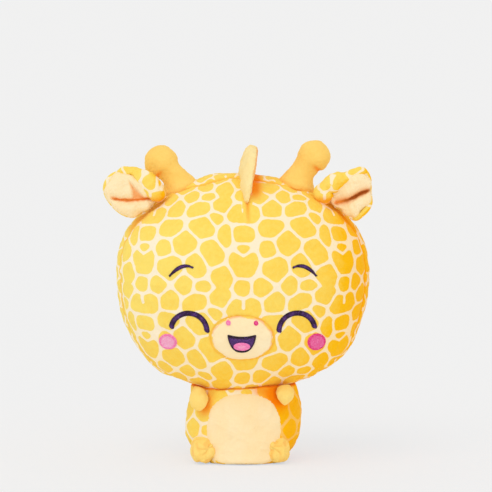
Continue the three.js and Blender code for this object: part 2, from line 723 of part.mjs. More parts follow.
function earSection(along, size, shrink, lobes) {
  const upper = size.upper - shrink;
  const lower = size.lower - shrink * Math.min(1, size.lower / earUpperReach + 0.5);
  const back = (earBackReach - shrink) * size.puff;
  const around = [];
  for (let step = 0; step <= 8; step++) { // over the back, from the upper rim to the lower
    const angle = (Math.PI * step) / 8;
    const z = Math.cos(angle) * (angle < Math.PI / 2 ? upper : lower);
    around.push(point(along, back * Math.sin(angle), z));
  }
  const reach = lobes ? earLobeReach : earRimReach + shrink * 3;
  for (let step = 1; step < 8; step++) { // across the front, from the lower rim to the upper
    const place = -1 + step / 4;
    const z = place < 0 ? -place * -lower : place * upper;
    const bulge = lobes ? reach * Math.sqrt(Math.max(0, 1 - (2 * Math.abs(place) - 1) ** 2))
      - earFoldDepth * (1 - Math.abs(place)) ** 4 : reach * Math.sqrt(Math.max(0, 1 - place ** 8));
    around.push(point(along, -bulge * size.puff, z));
  }
  return around;
}

function buildEars() {
  const sectionShares = [0, 0.08, 0.2, 0.35, 0.5, 0.65, 0.8, 0.91, 0.985];
  for (const [side, sign] of Object.entries(sides)) {
    const place = earPlaces[side];
    const lift = radians(earLiftDegrees[side]);
    const outward = new THREE.Quaternion().setFromAxisAngle(point(0, 1, 0), sign > 0 ? -lift : lift);
    const forward = new THREE.Quaternion().setFromAxisAngle(up, -sign * radians(earForwardDegrees[side]));
    const root = rootOf(headGroup, place, forward.multiply(outward));
    const normal = headNormal(place);
    const lean = Math.atan2(normal.z, Math.abs(normal.x)) - lift;
    const start = earRootClearance / Math.cos(lean);
    const sectionsOf = (shrink, lobes, from) => sectionShares.map((share) => {
      const along = start + (earLength - start) * share;
      const trimmed = share === 0 ? along + from : share > 0.95 ? along - shrink : along;
      return earSection(sign * trimmed, earSize(along, lean), shrink, lobes);
    });
    const leaf = loft(sectionsOf(0, false, 0));
    const hollow = loft(sectionsOf(earWall, false, earWall));
    const lining = loft(sectionsOf(earWall + seamGap, true, earWall + seamGap));
    const stem = ball(earRootRadius, point(), 1);
    const stalkReach = start + earWall;
    const stalkRadius = earRootRadius * 0.62;
    const stalk = loft([0, 1].map((share) => ringAround(point(sign * stalkReach * share, 0, 0),
      point(0, stalkRadius, 0), point(0, 0, stalkRadius), 10)));
    addPiece(root, `ear_${side}_outer`, printCloth, leaf.subtract(hollow).add(stem).add(stalk));
    addPiece(root, `ear_${side}_lining`, plainCloth, lining);
  }
}

// The mane stands on the head's middle line, thickest above the crown
function buildMane() {
  const rings = [];
  const steps = 14;
  for (let step = 0; step <= steps; step++) {
    const share = step / steps;
    const slope = radians(maneFrontDegrees + (maneBackDegrees - maneFrontDegrees) * share);
    const direction = point(0, Math.sin(slope), Math.cos(slope));
    const foot = direction.clone().multiplyScalar(reachTowards(headForm, direction, 0));
    const outward = headNormal(foot);
    foot.addScaledVector(outward, seamGap);
    const peak = (manePeakDegrees - maneFrontDegrees) / (maneBackDegrees - maneFrontDegrees);
    const climb = share < peak ? share / peak : (1 - share) / (1 - peak);
    const height = maneHeight * (0.12 + 0.88 * Math.sin((Math.PI / 2) * climb) ** 0.75);
    const half = maneHalfThickness * (0.42 + 0.58 * Math.sin((Math.PI / 2) * climb) ** 0.6);
    const rootHalf = Math.min(half, maneRootHalfThickness);
    const side = point(1, 0, 0);
    outward.addScaledVector(side, Math.tan(radians(maneLeanDegrees))).normalize();
    const outline = [[-rootHalf, 0], [-half * 0.85, 0.3], [-half, 0.6], [-half * 0.72, 0.86], [0, 1],
      [half * 0.72, 0.86], [half, 0.6], [half * 0.85, 0.3], [rootHalf, 0]];
    rings.push(outline.map(([across, rise]) => foot.clone()
      .addScaledVector(side, across).addScaledVector(outward, height * rise)));
  }
  addPiece(headGroup, 'mane', maneCloth, loft(rings));
}

buildBody();
buildFeet();
buildArms();
buildTail();
buildNeck();
buildHead();
buildFace();
buildHorns();
buildEars();
buildMane();

export default giraffe;
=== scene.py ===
# Looks of a small plush giraffe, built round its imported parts. Lengths in the dictionaries are millimetres.
import math
import bpy
import numpy as np
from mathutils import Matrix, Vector
from mathutils.bvhtree import BVHTree


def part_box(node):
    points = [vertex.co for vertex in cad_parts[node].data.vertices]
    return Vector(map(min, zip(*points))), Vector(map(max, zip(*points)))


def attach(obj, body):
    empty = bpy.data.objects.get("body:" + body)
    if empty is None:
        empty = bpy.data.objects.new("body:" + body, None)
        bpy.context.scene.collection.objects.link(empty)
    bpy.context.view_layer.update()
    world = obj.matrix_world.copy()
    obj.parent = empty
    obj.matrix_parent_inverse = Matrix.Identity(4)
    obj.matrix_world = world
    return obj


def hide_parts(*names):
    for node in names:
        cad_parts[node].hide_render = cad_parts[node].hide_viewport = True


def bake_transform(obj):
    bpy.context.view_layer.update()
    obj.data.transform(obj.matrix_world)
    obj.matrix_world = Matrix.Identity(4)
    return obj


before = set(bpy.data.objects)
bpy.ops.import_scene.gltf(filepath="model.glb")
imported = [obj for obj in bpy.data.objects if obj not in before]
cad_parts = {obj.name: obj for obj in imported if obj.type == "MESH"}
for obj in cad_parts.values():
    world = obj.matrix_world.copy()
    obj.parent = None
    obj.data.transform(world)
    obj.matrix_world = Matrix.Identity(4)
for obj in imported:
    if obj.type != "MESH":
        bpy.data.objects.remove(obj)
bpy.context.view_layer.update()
scene = bpy.context.scene
mm = 0.001
tiny = 1e-9
sides = (("left", 1), ("right", -1))  # the giraffe's own sides, and the way that each lies across
chance = np.random.default_rng(11)  # one seeded source, so that each run draws the same

# Camera
view = {
    "target": (2.25, 0, 160.5), "distance": 3000, "elevation": 6.5, "fieldWidth": 369, "near": 50,
    "far": 50000,
}


def setCamera():
    lens = bpy.data.cameras.new("studioCamera")
    camera = bpy.data.objects.new("studioCamera", lens)
    scene.collection.objects.link(camera)
    rise = math.radians(view["elevation"])
    back = Vector((0, -math.cos(rise), math.sin(rise)))
    camera.location = (Vector(view["target"]) + back * view["distance"]) * mm
    camera.rotation_euler = (-back).to_track_quat("-Z", "Y").to_euler()
    lens.lens = lens.sensor_width * view["distance"] / view["fieldWidth"]
    lens.clip_start, lens.clip_end = view["near"] * mm, view["far"] * mm
    scene.camera = camera
    scene.view_settings.view_transform = "Standard"


setCamera()


# Shader maths: a socket that can stand in a sum
class Signal:
    def __init__(self, owner, socket):
        self.owner, self.socket = owner, socket

    def math(self, operation, *values):
        return self.owner.node("ShaderNodeMath", {"operation": operation}, values)

    def __add__(self, other):
        return self.math("ADD", self, other)

    def __sub__(self, other):
        return self.math("SUBTRACT", self, other)

    def __rsub__(self, other):
        return self.math("SUBTRACT", other, self)

    def __mul__(self, other):
        return self.math("MULTIPLY", self, other)

    __radd__ = __add__
    __rmul__ = __mul__

    def between(self, low, high):  # 0 at low, 1 at high, smooth in between
        return self.owner.node("ShaderNodeMapRange", {"interpolation_type": "SMOOTHSTEP"},
                               {"Value": self, "From Min": low, "From Max": high})


class NodeTree:
    def __init__(self, tree):
        self.tree = tree

    def node(self, kind, settings=None, inputs=None, output=0):
        made = self.tree.nodes.new(kind)
        for key, value in (settings or {}).items():
            setattr(made, key, value)
        pairs = inputs.items() if isinstance(inputs, dict) else enumerate(inputs or ())
        for key, value in pairs:
            self.plug(made.inputs[key], value)
        return Signal(self, made.outputs[output])

    def plug(self, socket, value):
        if isinstance(value, Signal):
            self.tree.links.new(value.socket, socket)
        else:
            socket.default_value = value


class Finish(NodeTree):
    def __init__(self, name):
        self.material = bpy.data.materials.new(name)
        self.material.use_nodes = True
        super().__init__(self.material.node_tree)
        self.shader = self.tree.nodes["Principled BSDF"]

    def mix(self, share, first, second):  # a Mix node has its colours on sockets 6 and 7 and on output 2
        return self.node("ShaderNodeMix", {"data_type": "RGBA"}, {0: share, 6: first, 7: second}, output=2)

    def noise(self, scale, detail=2.0, roughness=0.5):
        return self.node("ShaderNodeTexNoise", {}, {
            "Vector": self.node("ShaderNodeTexCoord", output="Object"),
            "Scale": scale, "Detail": detail, "Roughness": roughness})

    def attribute(self, name):
        return self.node("ShaderNodeAttribute", {"attribute_name": name}, output="Fac")

    def bump(self, height, distance, strength):
        return self.node("ShaderNodeBump", {}, {
            "Height": height, "Distance": distance * mm, "Strength": strength})

    def shade(self, **values):
        for key, value in values.items():
            self.plug(self.shader.inputs[key], value)
        return self.material


def colour(red, green, blue):  # from the 0 to 255 that a screen shows
    shares = [value / 255 for value in (red, green, blue)]
    return (*(((share + 0.055) / 1.055) ** 2.4 if share > 0.04 else share / 12.92 for share in shares), 1.0)


# Cloths: the scales are those of noise, the shares say how much of a colour a noise brings in
cloths = {
    # spotLight and spotDeep, and gap, gapWarm and gapShade, are lit and shaded tones of the print: random
    # clouds and painted shade mix between them
    "spotLight": colour(252, 223, 108), "spotDeep": colour(255, 192, 0), "speck": colour(255, 230, 140),
    "gap": colour(253, 239, 210), "gapWarm": colour(255, 227, 176), "gapShade": colour(255, 206, 104),
    # the next three colours are painted shade: at seams and in crevices, in the ear lining's crease and fold,
    # and deepest down in that crease
    "seam": colour(252, 136, 0), "fold": colour(250, 150, 48), "depth": colour(140, 52, 8),
    "clumpScale": 950, "fibreScale": 2600, "cloudScale": 38, "printCloudScale": 30, "mottleScale": 300,
    "cloudShare": 0.5, "clumpShare": 0.25, "spotCloudShare": 0.16, "mottleShare": 0.16, "gapCloudShare": 0.2,
    "speckShare": 0.16, "spotEdge": (0.5, 1.2), "edgeWander": 0.9, "wanderScale": 260,
    "pileHeight": 0.35, "pileStrength": 0.8, "roughness": 0.92, "specular": 0.08,
    "sheen": 0.1, "sheenRoughness": 0.5, "sheenTint": colour(255, 236, 190),
}


# The pile of every cloth: clumps and fibres throw fine bumps, and the edges have a sheen
def piled(finish, base, clumps, pileHeight):
    height = clumps * 0.7 + finish.noise(cloths["fibreScale"], 1.0) * 0.3
    return finish.shade(**{
        "Base Color": base, "Roughness": cloths["roughness"], "Specular IOR Level": cloths["specular"],
        "Normal": finish.bump(height, pileHeight, cloths["pileStrength"]), "Sheen Weight": cloths["sheen"],
        "Sheen Roughness": cloths["sheenRoughness"], "Sheen Tint": cloths["sheenTint"],
    })


# Plain plush: colour varies in soft clouds and clumps, and painted shade deepens it at seams and crevices and
# further in creases
def plush(name, base, deep, pileHeight=cloths["pileHeight"], fold=cloths["seam"]):
    finish = Finish(name)
    clouds = finish.noise(cloths["cloudScale"], 3.0).between(0.3, 0.7)
    clumps = finish.noise(cloths["clumpScale"], 3.0, 0.6)
    mottled = clouds * cloths["cloudShare"] + clumps.between(0.35, 0.7) * cloths["clumpShare"]
    sewn = finish.mix(finish.attribute("seam"), finish.mix(mottled, base, deep), fold)
    return piled(finish, finish.mix(finish.attribute("deep"), sewn, cloths["depth"]), clumps, pileHeight)


# The same plush printed with spots: an attribute holds how deep each place lies inside a spot
def printedPlush(name):
    finish = Finish(name)
    clouds = finish.noise(cloths["printCloudScale"], 3.0).between(0.3, 0.7)
    clumps = finish.noise(cloths["clumpScale"], 3.0, 0.6)
    mottle = finish.noise(cloths["mottleScale"], 3.0, 0.6).between(0.35, 0.65)
    wander = finish.noise(cloths["wanderScale"], 2.0) - 0.5
    spotShare = (finish.attribute("spot") + wander * cloths["edgeWander"]).between(*cloths["spotEdge"])
    # the attribute read here is painted shade: it turns spots and gaps orange on the sides away from the
    # window, on top of the random clouds and mottle
    warm = finish.attribute("warm")
    depth = clouds * cloths["spotCloudShare"] + mottle * cloths["mottleShare"] + warm - 0.12
    spot = finish.mix(depth, cloths["spotLight"], cloths["spotDeep"])
    specks = clumps.between(0.45, 0.75) * (cloths["speckShare"] - warm * 0.14)
    spot = finish.mix(specks, spot, cloths["speck"])
    gap = finish.mix(clouds * cloths["gapCloudShare"] + warm * 0.8 - 0.05, cloths["gap"], cloths["gapWarm"])
    gap = finish.mix(warm.between(1.0, 1.4), gap, cloths["gapShade"])
    # painted shade from the attribute turns seams and crevices orange
    sewn = finish.mix(finish.attribute("seam"), finish.mix(spotShare, gap, spot), cloths["seam"])
    return piled(finish, sewn, clumps, cloths["pileHeight"])


threads = {
    "strandScale": 1800, "fleckScale": 750, "fleckShare": 0.34, "twistScale": 4000, "twistHeight": 0.06,
    "roughness": 0.42, "specular": 0.25,
}


# Shiny embroidery thread; its stitches are in the mesh, and the attribute holds where they catch the light
def thread(name, base, light, glow):
    finish = Finish(name)
    spun = finish.mix(finish.noise(threads["strandScale"], 2.0).between(0.35, 0.65), base, light)
    # flecks: painted glints scattered over the thread
    flecks = finish.noise(threads["fleckScale"], 2.0).between(0.5, 0.66)
    shining = finish.attribute("glow") + flecks * threads["fleckShare"]
    return finish.shade(**{
        "Base Color": finish.mix(shining, spun, glow), "Roughness": threads["roughness"],
        "Normal": finish.bump(finish.noise(threads["twistScale"], 1.0), threads["twistHeight"], 0.6),
        "Specular IOR Level": threads["specular"],
    })


materials = {
    "print": printedPlush("printedPlush"),
    "tummy": plush("peachPlush", colour(255, 234, 190), colour(255, 224, 166)),
    "muzzle": plush("muzzlePlush", colour(255, 237, 196), colour(255, 228, 176)),
    "lining": plush("earLining", colour(255, 234, 190), colour(255, 222, 164), fold=cloths["fold"]),
    "horn": plush("hornPlush", colour(255, 216, 118), colour(252, 201, 96)),
    "limb": plush("limbPlush", colour(255, 225, 134), colour(255, 211, 106)),
    "mane": plush("manePlush", colour(255, 233, 170), colour(255, 220, 138), pileHeight=0.6),
    "navy": thread("navyThread", colour(24, 2, 8), colour(40, 10, 28), colour(118, 70, 164)),
    "pink": thread("pinkThread", colour(222, 20, 104), colour(246, 74, 150), colour(255, 154, 208)),
    "palePink": thread("palePinkThread", colour(246, 98, 170), colour(255, 152, 200), colour(255, 204, 224)),
}
print("materials made:", len(materials))

# Floor, room and lamps: floor and room look one way to the camera, and light the toy another way
stage = {
    "floorReach": 12000, "floorSent": (0.95, 0.95, 0.95, 1), "floorSeen": (0.4, 0.32, 0.25, 1),
    "floorGlow": (0.48, 0.558, 0.626, 1), "roomLight": 0.86, "roomSeen": colour(240, 240, 240),
    "lamps": {
        "windowLight": {"direction": (0.3, 0.45, -0.85), "strength": 0.48, "softness": 40},
        "fillLight": {"direction": (-0.3, 0.95, -0.03), "strength": 0.32, "softness": 20},
    },
}


def setFloor():
    finish = Finish("studioFloor")
    seen = finish.node("ShaderNodeLightPath", output="Is Camera Ray")
    finish.shade(**{
        "Base Color": finish.mix(seen, stage["floorSent"], stage["floorSeen"]), "Roughness": 1.0,
        "Emission Color": finish.mix(seen, (0, 0, 0, 1), stage["floorGlow"]), "Emission Strength": 1.0,
        "Specular IOR Level": 0.0,
    })
    reach = stage["floorReach"]
    corners = [(-reach, -reach, 0), (reach, -reach, 0), (reach, reach, 0), (-reach, reach, 0)]
    makePiece("studioFloor", corners, [(0, 1, 2, 3)], finish.material)


def setRoom():
    world = bpy.data.worlds.new("softRoom")
    scene.world = world
    world.use_nodes = True
    room = NodeTree(world.node_tree)
    light = room.tree.nodes["Background"]
    room.plug(light.inputs["Color"], (1, 1, 1, 1))
    room.plug(light.inputs["Strength"], stage["roomLight"])
    seen = room.node("ShaderNodeBackground", {}, {"Color": stage["roomSeen"], "Strength": 1.0})
    rays = [room.node("ShaderNodeLightPath", output=f"Is {kind} Ray") for kind in ("Camera", "Glossy")]
    direct = rays[0].math("MAXIMUM", *rays)
    blend = room.node("ShaderNodeMixShader", {}, (direct, Signal(room, light.outputs[0]), seen))
    room.plug(room.tree.nodes["World Output"].inputs["Surface"], blend)


def setLamps():
    for name, rule in stage["lamps"].items():
        lamp = bpy.data.lights.new(name, "SUN")
        lamp.energy, lamp.angle = rule["strength"], math.radians(rule["softness"])
        holder = bpy.data.objects.new(name, lamp)
        holder.rotation_euler = Vector(rule["direction"]).to_track_quat("-Z", "Y").to_euler()
        scene.collection.objects.link(holder)


# Mesh tools: points are numpy rows in millimetres
def makePiece(name, points, faces, material):
    mesh = bpy.data.meshes.new(name)
    mesh.from_pydata((np.asarray(points) * mm).tolist(), [], [tuple(int(i) for i in f) for f in faces])
    mesh.polygons.foreach_set("use_smooth", [True] * len(mesh.polygons))
    mesh.materials.append(material)
    piece = bpy.data.objects.new(name, mesh)
    scene.collection.objects.link(piece)
    return piece


def paint(piece, **shares):
    for name, values in shares.items():
        layer = piece.data.attributes.new(name, "FLOAT", "POINT")
        layer.data.foreach_set("value", np.asarray(values, np.float32))


def unit(rows):  # each row at a length of one
    return rows / np.maximum(np.linalg.norm(rows, axis=-1), tiny)[..., None]


def vertexNormals(points, faces):
    quads = np.array([f if len(f) == 4 else (*f, f[-1]) for f in faces])
    a, b, c, d = (points[quads[:, k]] for k in range(4))
    flat = np.cross(c - a, d - b)
    total = np.zeros_like(points)
    for corner in quads.T:
        np.add.at(total, corner, flat)
    return unit(total)


def outwardFaces(points, faces):
    first, second, third = (points[[f[k] for f in faces]] - points.mean(axis=0) for k in range(3))
    volume = np.einsum("ij,ij->", first, np.cross(second, third))
    return faces if volume > 0 else [f[::-1] for f in faces]


# Even quads over a ball: directions from its centre, and the faces between them
def quadBall(count):
    steps = np.tan(np.linspace(-math.pi / 4, math.pi / 4, count + 1))
    index, directions, faces = {}, [], []
    for axis in range(3):
        for way in (-1, 1):
            ids = np.zeros((count + 1, count + 1), int)
            for i, u in enumerate(steps):
                for j, v in enumerate(steps):
                    spot = np.zeros(3)
                    spot[axis], spot[(axis + 1) % 3], spot[(axis + 2) % 3] = way, u, v
                    spot /= np.linalg.norm(spot)
                    key = tuple(np.round(spot, 6) + 0.0)
                    if key not in index:
                        index[key] = len(directions)
                        directions.append(spot)
                    ids[i, j] = index[key]
            for i in range(count):
                for j in range(count):
                    quad = (ids[i, j], ids[i + 1, j], ids[i + 1, j + 1], ids[i, j + 1])
                    faces.append(quad if way > 0 else quad[::-1])
    return np.array(directions), faces


# Joins rings of points into a closed skin; each end closes on its own middle
def loftSkin(rings):
    count = len(rings[0])
    points, faces = [*np.concatenate(rings)], []
    for ring in range(len(rings) - 1):
        for side in range(count):
            here, after = ring * count + side, ring * count + (side + 1) % count
            faces.append((here, after, after + count, here + count))
    for ring, first in ((0, True), (len(rings) - 1, False)):
        hub = len(points)
        points.append(rings[ring].mean(axis=0))
        for side in range(count):
            here, after = ring * count + side, ring * count + (side + 1) % count
            faces.append((hub, after, here) if first else (hub, here, after))
    points = np.array(points)
    return points, outwardFaces(points, faces)


# A closed pad from a fan of rings: outline(angle) gives its places, height(x, z, share) its top
def facePad(outline, middle, rings, around, height, sink, place):
    rim = outline(np.arange(around) * 2 * math.pi / around)
    part = np.arange(1, rings + 1) / rings
    share = np.concatenate([[0.0], part.repeat(around)])
    x, z = (np.concatenate([[middle[k]], (middle[k] + (rim[k] - middle[k]) * part[:, None]).ravel()])
            for k in (0, 1))
    count, faces = len(x), []
    for side in range(around):
        after = (side + 1) % around
        faces.append((0, 1 + side, 1 + after))
        faces.append((count, count + 1 + after, count + 1 + side))
        for ring in range(rings - 1):
            a, b = 1 + ring * around + side, 1 + ring * around + after
            faces.append((a, a + around, b + around, b))
            faces.append((count + a, count + b, count + b + around, count + a + around))
        a, b = 1 + (rings - 1) * around + side, 1 + (rings - 1) * around + after
        faces.append((a, count + a, count + b, b))
    points = np.concatenate([place(x, z, height(x, z, share)), place(x, z, np.full(count, sink))])
    return points, faces, x, z, share


# A smooth line through places, each at its own distance
def smoothThrough(steps, values, spots):
    slope = np.gradient(values, steps, axis=0)
    index = np.clip(np.searchsorted(steps, spots, side="right") - 1, 0, len(steps) - 2)
    gap = (steps[index + 1] - steps[index])[:, None]
    t = ((spots - steps[index]) / gap[:, 0])[:, None]
    a, b, slopeA, slopeB = values[index], values[index + 1], slope[index] * gap, slope[index + 1] * gap
    return ((2 * t ** 3 - 3 * t ** 2 + 1) * a + (t ** 3 - 2 * t ** 2 + t) * slopeA
            + (3 * t ** 2 - 2 * t ** 3) * b + (t ** 3 - t ** 2) * slopeB)


# A stuffed tube along a path, with its radius at each place of the path
def tube(path, radii, around, seed, rough=0.12, squash=1.0):
    path, radii = np.asarray(path, float), np.asarray(radii, float)
    steps = np.concatenate([[0], np.cumsum(np.linalg.norm(np.diff(path, axis=0), axis=1))])
    rows = max(8, int(steps[-1] / 1.1))
    spots = np.linspace(0, steps[-1], rows + 1)
    line = smoothThrough(steps, path, spots)
    sizes = np.maximum(smoothThrough(steps, radii[:, None], spots)[:, 0], 0.05)
    ahead = unit(np.gradient(line, axis=0))
    side = unit(np.cross(ahead, np.array([0, 1.0, 0])))
    out = np.cross(side, ahead)
    angles = np.arange(around) * 2 * math.pi / around
    wide, tall = np.cos(angles)[:, None], squash * np.sin(angles)[:, None]
    points, faces = loftSkin([line[i] + sizes[i] * (wide * side[i] + tall * out[i]) for i in range(rows + 1)])
    move = unevenness(points, ((rough, 4, seed), (rough * 1.5, 11, seed + 1)))
    return points + vertexNormals(points, faces) * move[:, None], faces


def takeShape(piece):
    shaped = piece.evaluated_get(bpy.context.evaluated_depsgraph_get()).to_mesh()
    points = np.zeros(len(shaped.vertices) * 3)
    shaped.vertices.foreach_get("co", points)
    faces = [tuple(p.vertices) for p in shaped.polygons]
    mesh = piece.data
    bpy.data.objects.remove(piece)
    bpy.data.meshes.remove(mesh)
    return points.reshape(-1, 3) / mm, faces


def refined(points, faces, levels):
    piece = makePiece("coarse", points, faces, None)
    piece.modifiers.new("finer", "SUBSURF").levels = levels
    return takeShape(piece)


# Fills a sewn skin: cloth under pressure, held along its seams; no point moves further than cap
def stuffed(points, faces, pinned, cap, pressure=4.0, frames=20):
    piece = makePiece("filling", points, faces, None)
    held = piece.vertex_groups.new(name="seam")
    held.add([int(i) for i in np.flatnonzero(pinned)], 1.0, "REPLACE")
    cloth = piece.modifiers.new("stuffing", "CLOTH")
    rule = cloth.settings
    rule.use_pressure, rule.uniform_pressure_force = True, pressure
    rule.effector_weights.gravity = 0
    rule.quality = 5
    rule.vertex_group_mass = "seam"
    cloth.point_cache.frame_start, cloth.point_cache.frame_end = 1, frames
    for step in range(1, frames + 1):
        scene.frame_set(step)
    grown, _ = takeShape(piece)
    scene.frame_set(1)
    move = grown - points
    far = np.linalg.norm(move, axis=1)
    return points + move * (np.minimum(far, cap) / np.maximum(far, tiny))[:, None]


# Soft unevenness from a few waves in chosen directions; size is the length of a wave
def lumps(points, size, seed, waves=14):
    source = np.random.default_rng(seed)
    way = source.normal(size=(waves, 3))
    way *= (source.uniform(0.7, 1.4, waves) / np.linalg.norm(way, axis=1) * 2 * math.pi / size)[:, None]
    shift = source.uniform(0, 2 * math.pi, waves)
    return np.sin(points @ way.T + shift).sum(axis=1) / math.sqrt(waves / 2)


def unevenness(points, layers):  # each layer has its height, the length of its waves and its seed
    return sum(height * lumps(points, size, seed) for height, size, seed in layers)


def hill(distance, width):  # 1 at no distance, falling softly
    return np.exp(-(distance / width) ** 2)


def ramp(value, low, high):  # 0 at low, 1 at high, smooth in between
    share = np.clip((value - low) / (high - low), 0, 1)
    return share * share * (3 - 2 * share)


def segmentDistance(points, start, end):
    start, end = np.array(start, float), np.array(end, float)
    along = end - start
    share = np.clip((points - start) @ along / (along @ along), 0, 1)
    return np.linalg.norm(points - start - share[:, None] * along, axis=1), share


setFloor()
setRoom()
setLamps()
print("stage set")

# The printed spots of one repeat of the cloth
giraffeSpots = {
    "repeat": (80, 73.5), "rounding": 1.35, "spread": -0.1, "limit": 2.8, "limitRounding": 0.6,
    # middle across and up, half width, half height, tilt, group; the spots of one group run together
    "spots": [
        (0, 0, 7.4, 6.6, 0, "square"), (0, -12.0, 3.9, 3.7, 0, "dot"), (0, -27.4, 7.2, 5.8, 0, "heart"),
        (-4.7, -22, 5.3, 6.9, 12, "heart"), (4.7, -22, 5.3, 6.9, -12, "heart"),
        (-0.8, -40.6, 5.4, 5.6, 0, "bead"), (14.2, -41, 6.6, 6.6, 0, "arrow"),
        (-6.6, -56.5, 6.8, 7.0, 25, "saddle"), (6.6, -56.5, 6.8, 7.0, -25, "saddle"),
        (0, -60, 7.5, 5, 0, "saddle"), (19.4, -12.4, 6.0, 6.8, 0, "pebble"),
        (34, -7.4, 9.2, 8.8, 0, "shield"), (21.8, 5.2, 9.0, 8.2, 15, "loaf"),
        (-32.2, 5.2, 9.8, 8.2, -15, "bean"),
        (-14.4, -1.2, 4.9, 8.2, 5, "pillar"), (-24.2, -15, 8.2, 9.8, 35, "leaf"),
        (24.2, -26.6, 9.0, 9.0, 0, "coin"), (-35.6, -24.2, 7.4, 8.6, 0, "bell"),
        (35, -39.6, 6.2, 6.8, 0, "nut"), (-30.2, -40.6, 6.2, 4.0, 0, "brick"),
        (-15.9, -33.4, 7.4, 8.2, 0, "waist"), (-17.4, -49.2, 8.2, 7.6, 0, "waist"),
        (-36.2, -52.8, 9.6, 6.4, 22, "slab"), (23, -53, 7.8, 8.6, -25, "drop"),
        (-21.4, -60.6, 5.2, 6.0, 20, "chip"),
    ],
    "slitTop": (0, -48.5), "slitLength": 7.5, "slitHalf": 0.45, "bare": 3.0,
}


# How far each place of the cloth lies from the middle of the nearest gap between spots
def spotDepth(across, up):
    width, height = giraffeSpots["repeat"]
    spots, soft, edge = giraffeSpots["spots"], giraffeSpots["rounding"], giraffeSpots["limitRounding"]
    away = []
    for x, z, halfWidth, halfHeight, tilt, _ in spots:
        dx = (across - x + width / 2) % width - width / 2
        dz = (up - z + height / 2) % height - height / 2
        c, s = math.cos(math.radians(tilt)), math.sin(math.radians(tilt))
        reach = np.hypot((dx * c + dz * s) / halfWidth, (dz * c - dx * s) / halfHeight)
        away.append((reach - 1) * math.sqrt(halfWidth * halfHeight))
    away = np.array(away)
    groups = sorted({spot[-1] for spot in spots})
    kinds = np.array([groups.index(spot[-1]) for spot in spots])
    nearest = away.argmin(axis=0)
    others = np.where(kinds[:, None] == kinds[nearest][None, :], 99.0, away)
    second = -soft * np.log(np.exp(-others / soft).sum(axis=0))
    depth = (second - away.min(axis=0)) / 2 + giraffeSpots["spread"]
    own = np.maximum(giraffeSpots["limit"] - away.min(axis=0), -20)
    depth = -edge * np.log(np.exp(-depth / edge) + np.exp(-own / edge))
    x, z = giraffeSpots["slitTop"]
    dx = (across - x + width / 2) % width - width / 2
    dz = (up + height / 2 - z) % height - height / 2
    cut = np.hypot(dx, np.maximum(0, np.maximum(dz, -giraffeSpots["slitLength"] - dz)))
    return np.minimum(depth, cut - giraffeSpots["slitHalf"])


# Painted shade: how much the cloth's colour deepens to orange towards the sides that face away from the
# window, where the shade falls
warming = {
    "plain": 0.2, "left": 0.34, "right": 0.12, "rightEdge": 3.1, "above": 0.04, "below": 0.44,
    "belowRight": 0.7,
}


def warmth(normals):
    x, y, z = normals.T
    high, low, left, right = np.maximum(z, 0), np.maximum(-z, 0), np.minimum(x, 0), np.maximum(x, 0)
    sideways = warming["left"] * left + warming["right"] * right + warming["rightEdge"] * right ** 4
    upright = warming["above"] * high ** 2 + (warming["below"] + warming["belowRight"] * right) * low
    return np.clip(warming["plain"] + sideways * ramp(y, 0.95, -0.1) + upright, 0, 1)


# Head: a swell is a place from the head's middle, a width and a height
headShape = {
    "centre": (0, 0, 142.5), "halfWidth": 94.5, "front": 65, "back": 63, "top": 71.5, "bottom": 91,
    "planPower": 2.1, "topPower": 2.05, "bottomPower": 2.3, "quads": 30, "inset": 1.2, "faceDepth": 20,
    "lumps": ((0.5, 46, 3), (0.22, 13, 4), (0.1, 3.2, 5)),
    "swells": (
        (66, 0, -64, 22, 3.6), (-76, 0, -46, 28, 2.4), (86, 0, -36, 24, 1.2), (-87, 0, 24, 26, 2.2),
        (90, 0, -2, 20, 1.6), (-54, 0, -74, 20, 2.2), (-4, -12, -90, 25, 2.4), (-16, -34, -84, 19, 2.6),
        (54, 0, -77, 15, -1.6), (-2, 4, 72, 30, 2.8), (-30, 4, 68, 15, 2.4),
    ),
}
headSeams = {
    "setback": 12, "snap": 2.6, "tuck": 0.7, "cap": 2.6, "depth": 1.3, "width": 1.3, "backDepth": 1.2,
    "backWidth": 1.2, "puckers": 37, "puckerDepth": 0.3, "puckerReach": 7, "backPuckerLength": 1.9,
    "backPuckerDepth": 0.25, "backPuckerReach": 6, "muzzleDepth": 0.8, "muzzleEdge": 1.03,
    "muzzleRing": 1.035,
}
headDart = {
    "top": (3.0, 200), "bottom": (4.2, 185), "depth": 1.5, "width": 1.5, "fade": 0.7, "bare": 3.6,
    "bareAbove": 187, "swell": 1.5, "swellFrom": 4, "swellWidth": 3.0,
}
# Where the cloth of the front, left back and right back starts, across and up
headLay = {"front": (-0.4, -35), "left": (37, 19), "right": (-21, 50), "slices": 24}
# Painted shade on the head: how much the colour deepens along each seam and crevice, how wide, and where
headShade = {
    "earLine": ((60, -12, 197), (84, -12, 177)), "earBare": 5, "seam": (0.4, 1.1), "ear": (0.5, 5.5),
    "back": (0.5, 1.2), "dart": (0.75, 1.4), "muzzle": (0.45, 0.5), "under": 0.75, "underHeight": (80, 88),
    "underReach": (48, 34), "mane": 0.95, "maneNear": (3, 6), "maneFar": (17, 9), "maneHeight": (197, 206),
    "maneBareNear": (2, 5), "maneBareFar": (19, 13), "maneBareHeight": (203, 207), "side": 0.16,
}
muzzle = {
    "middle": -0.7, "drop": 44, "halfWidth": 22.8, "halfHeight": 17.0, "rim": -0.6, "edgeRise": 2.2,
    "crownRise": 2.6, "sink": -1.6, "rings": 26, "around": 120, "lumps": ((0.25, 11, 21), (0.08, 3, 22)),
}


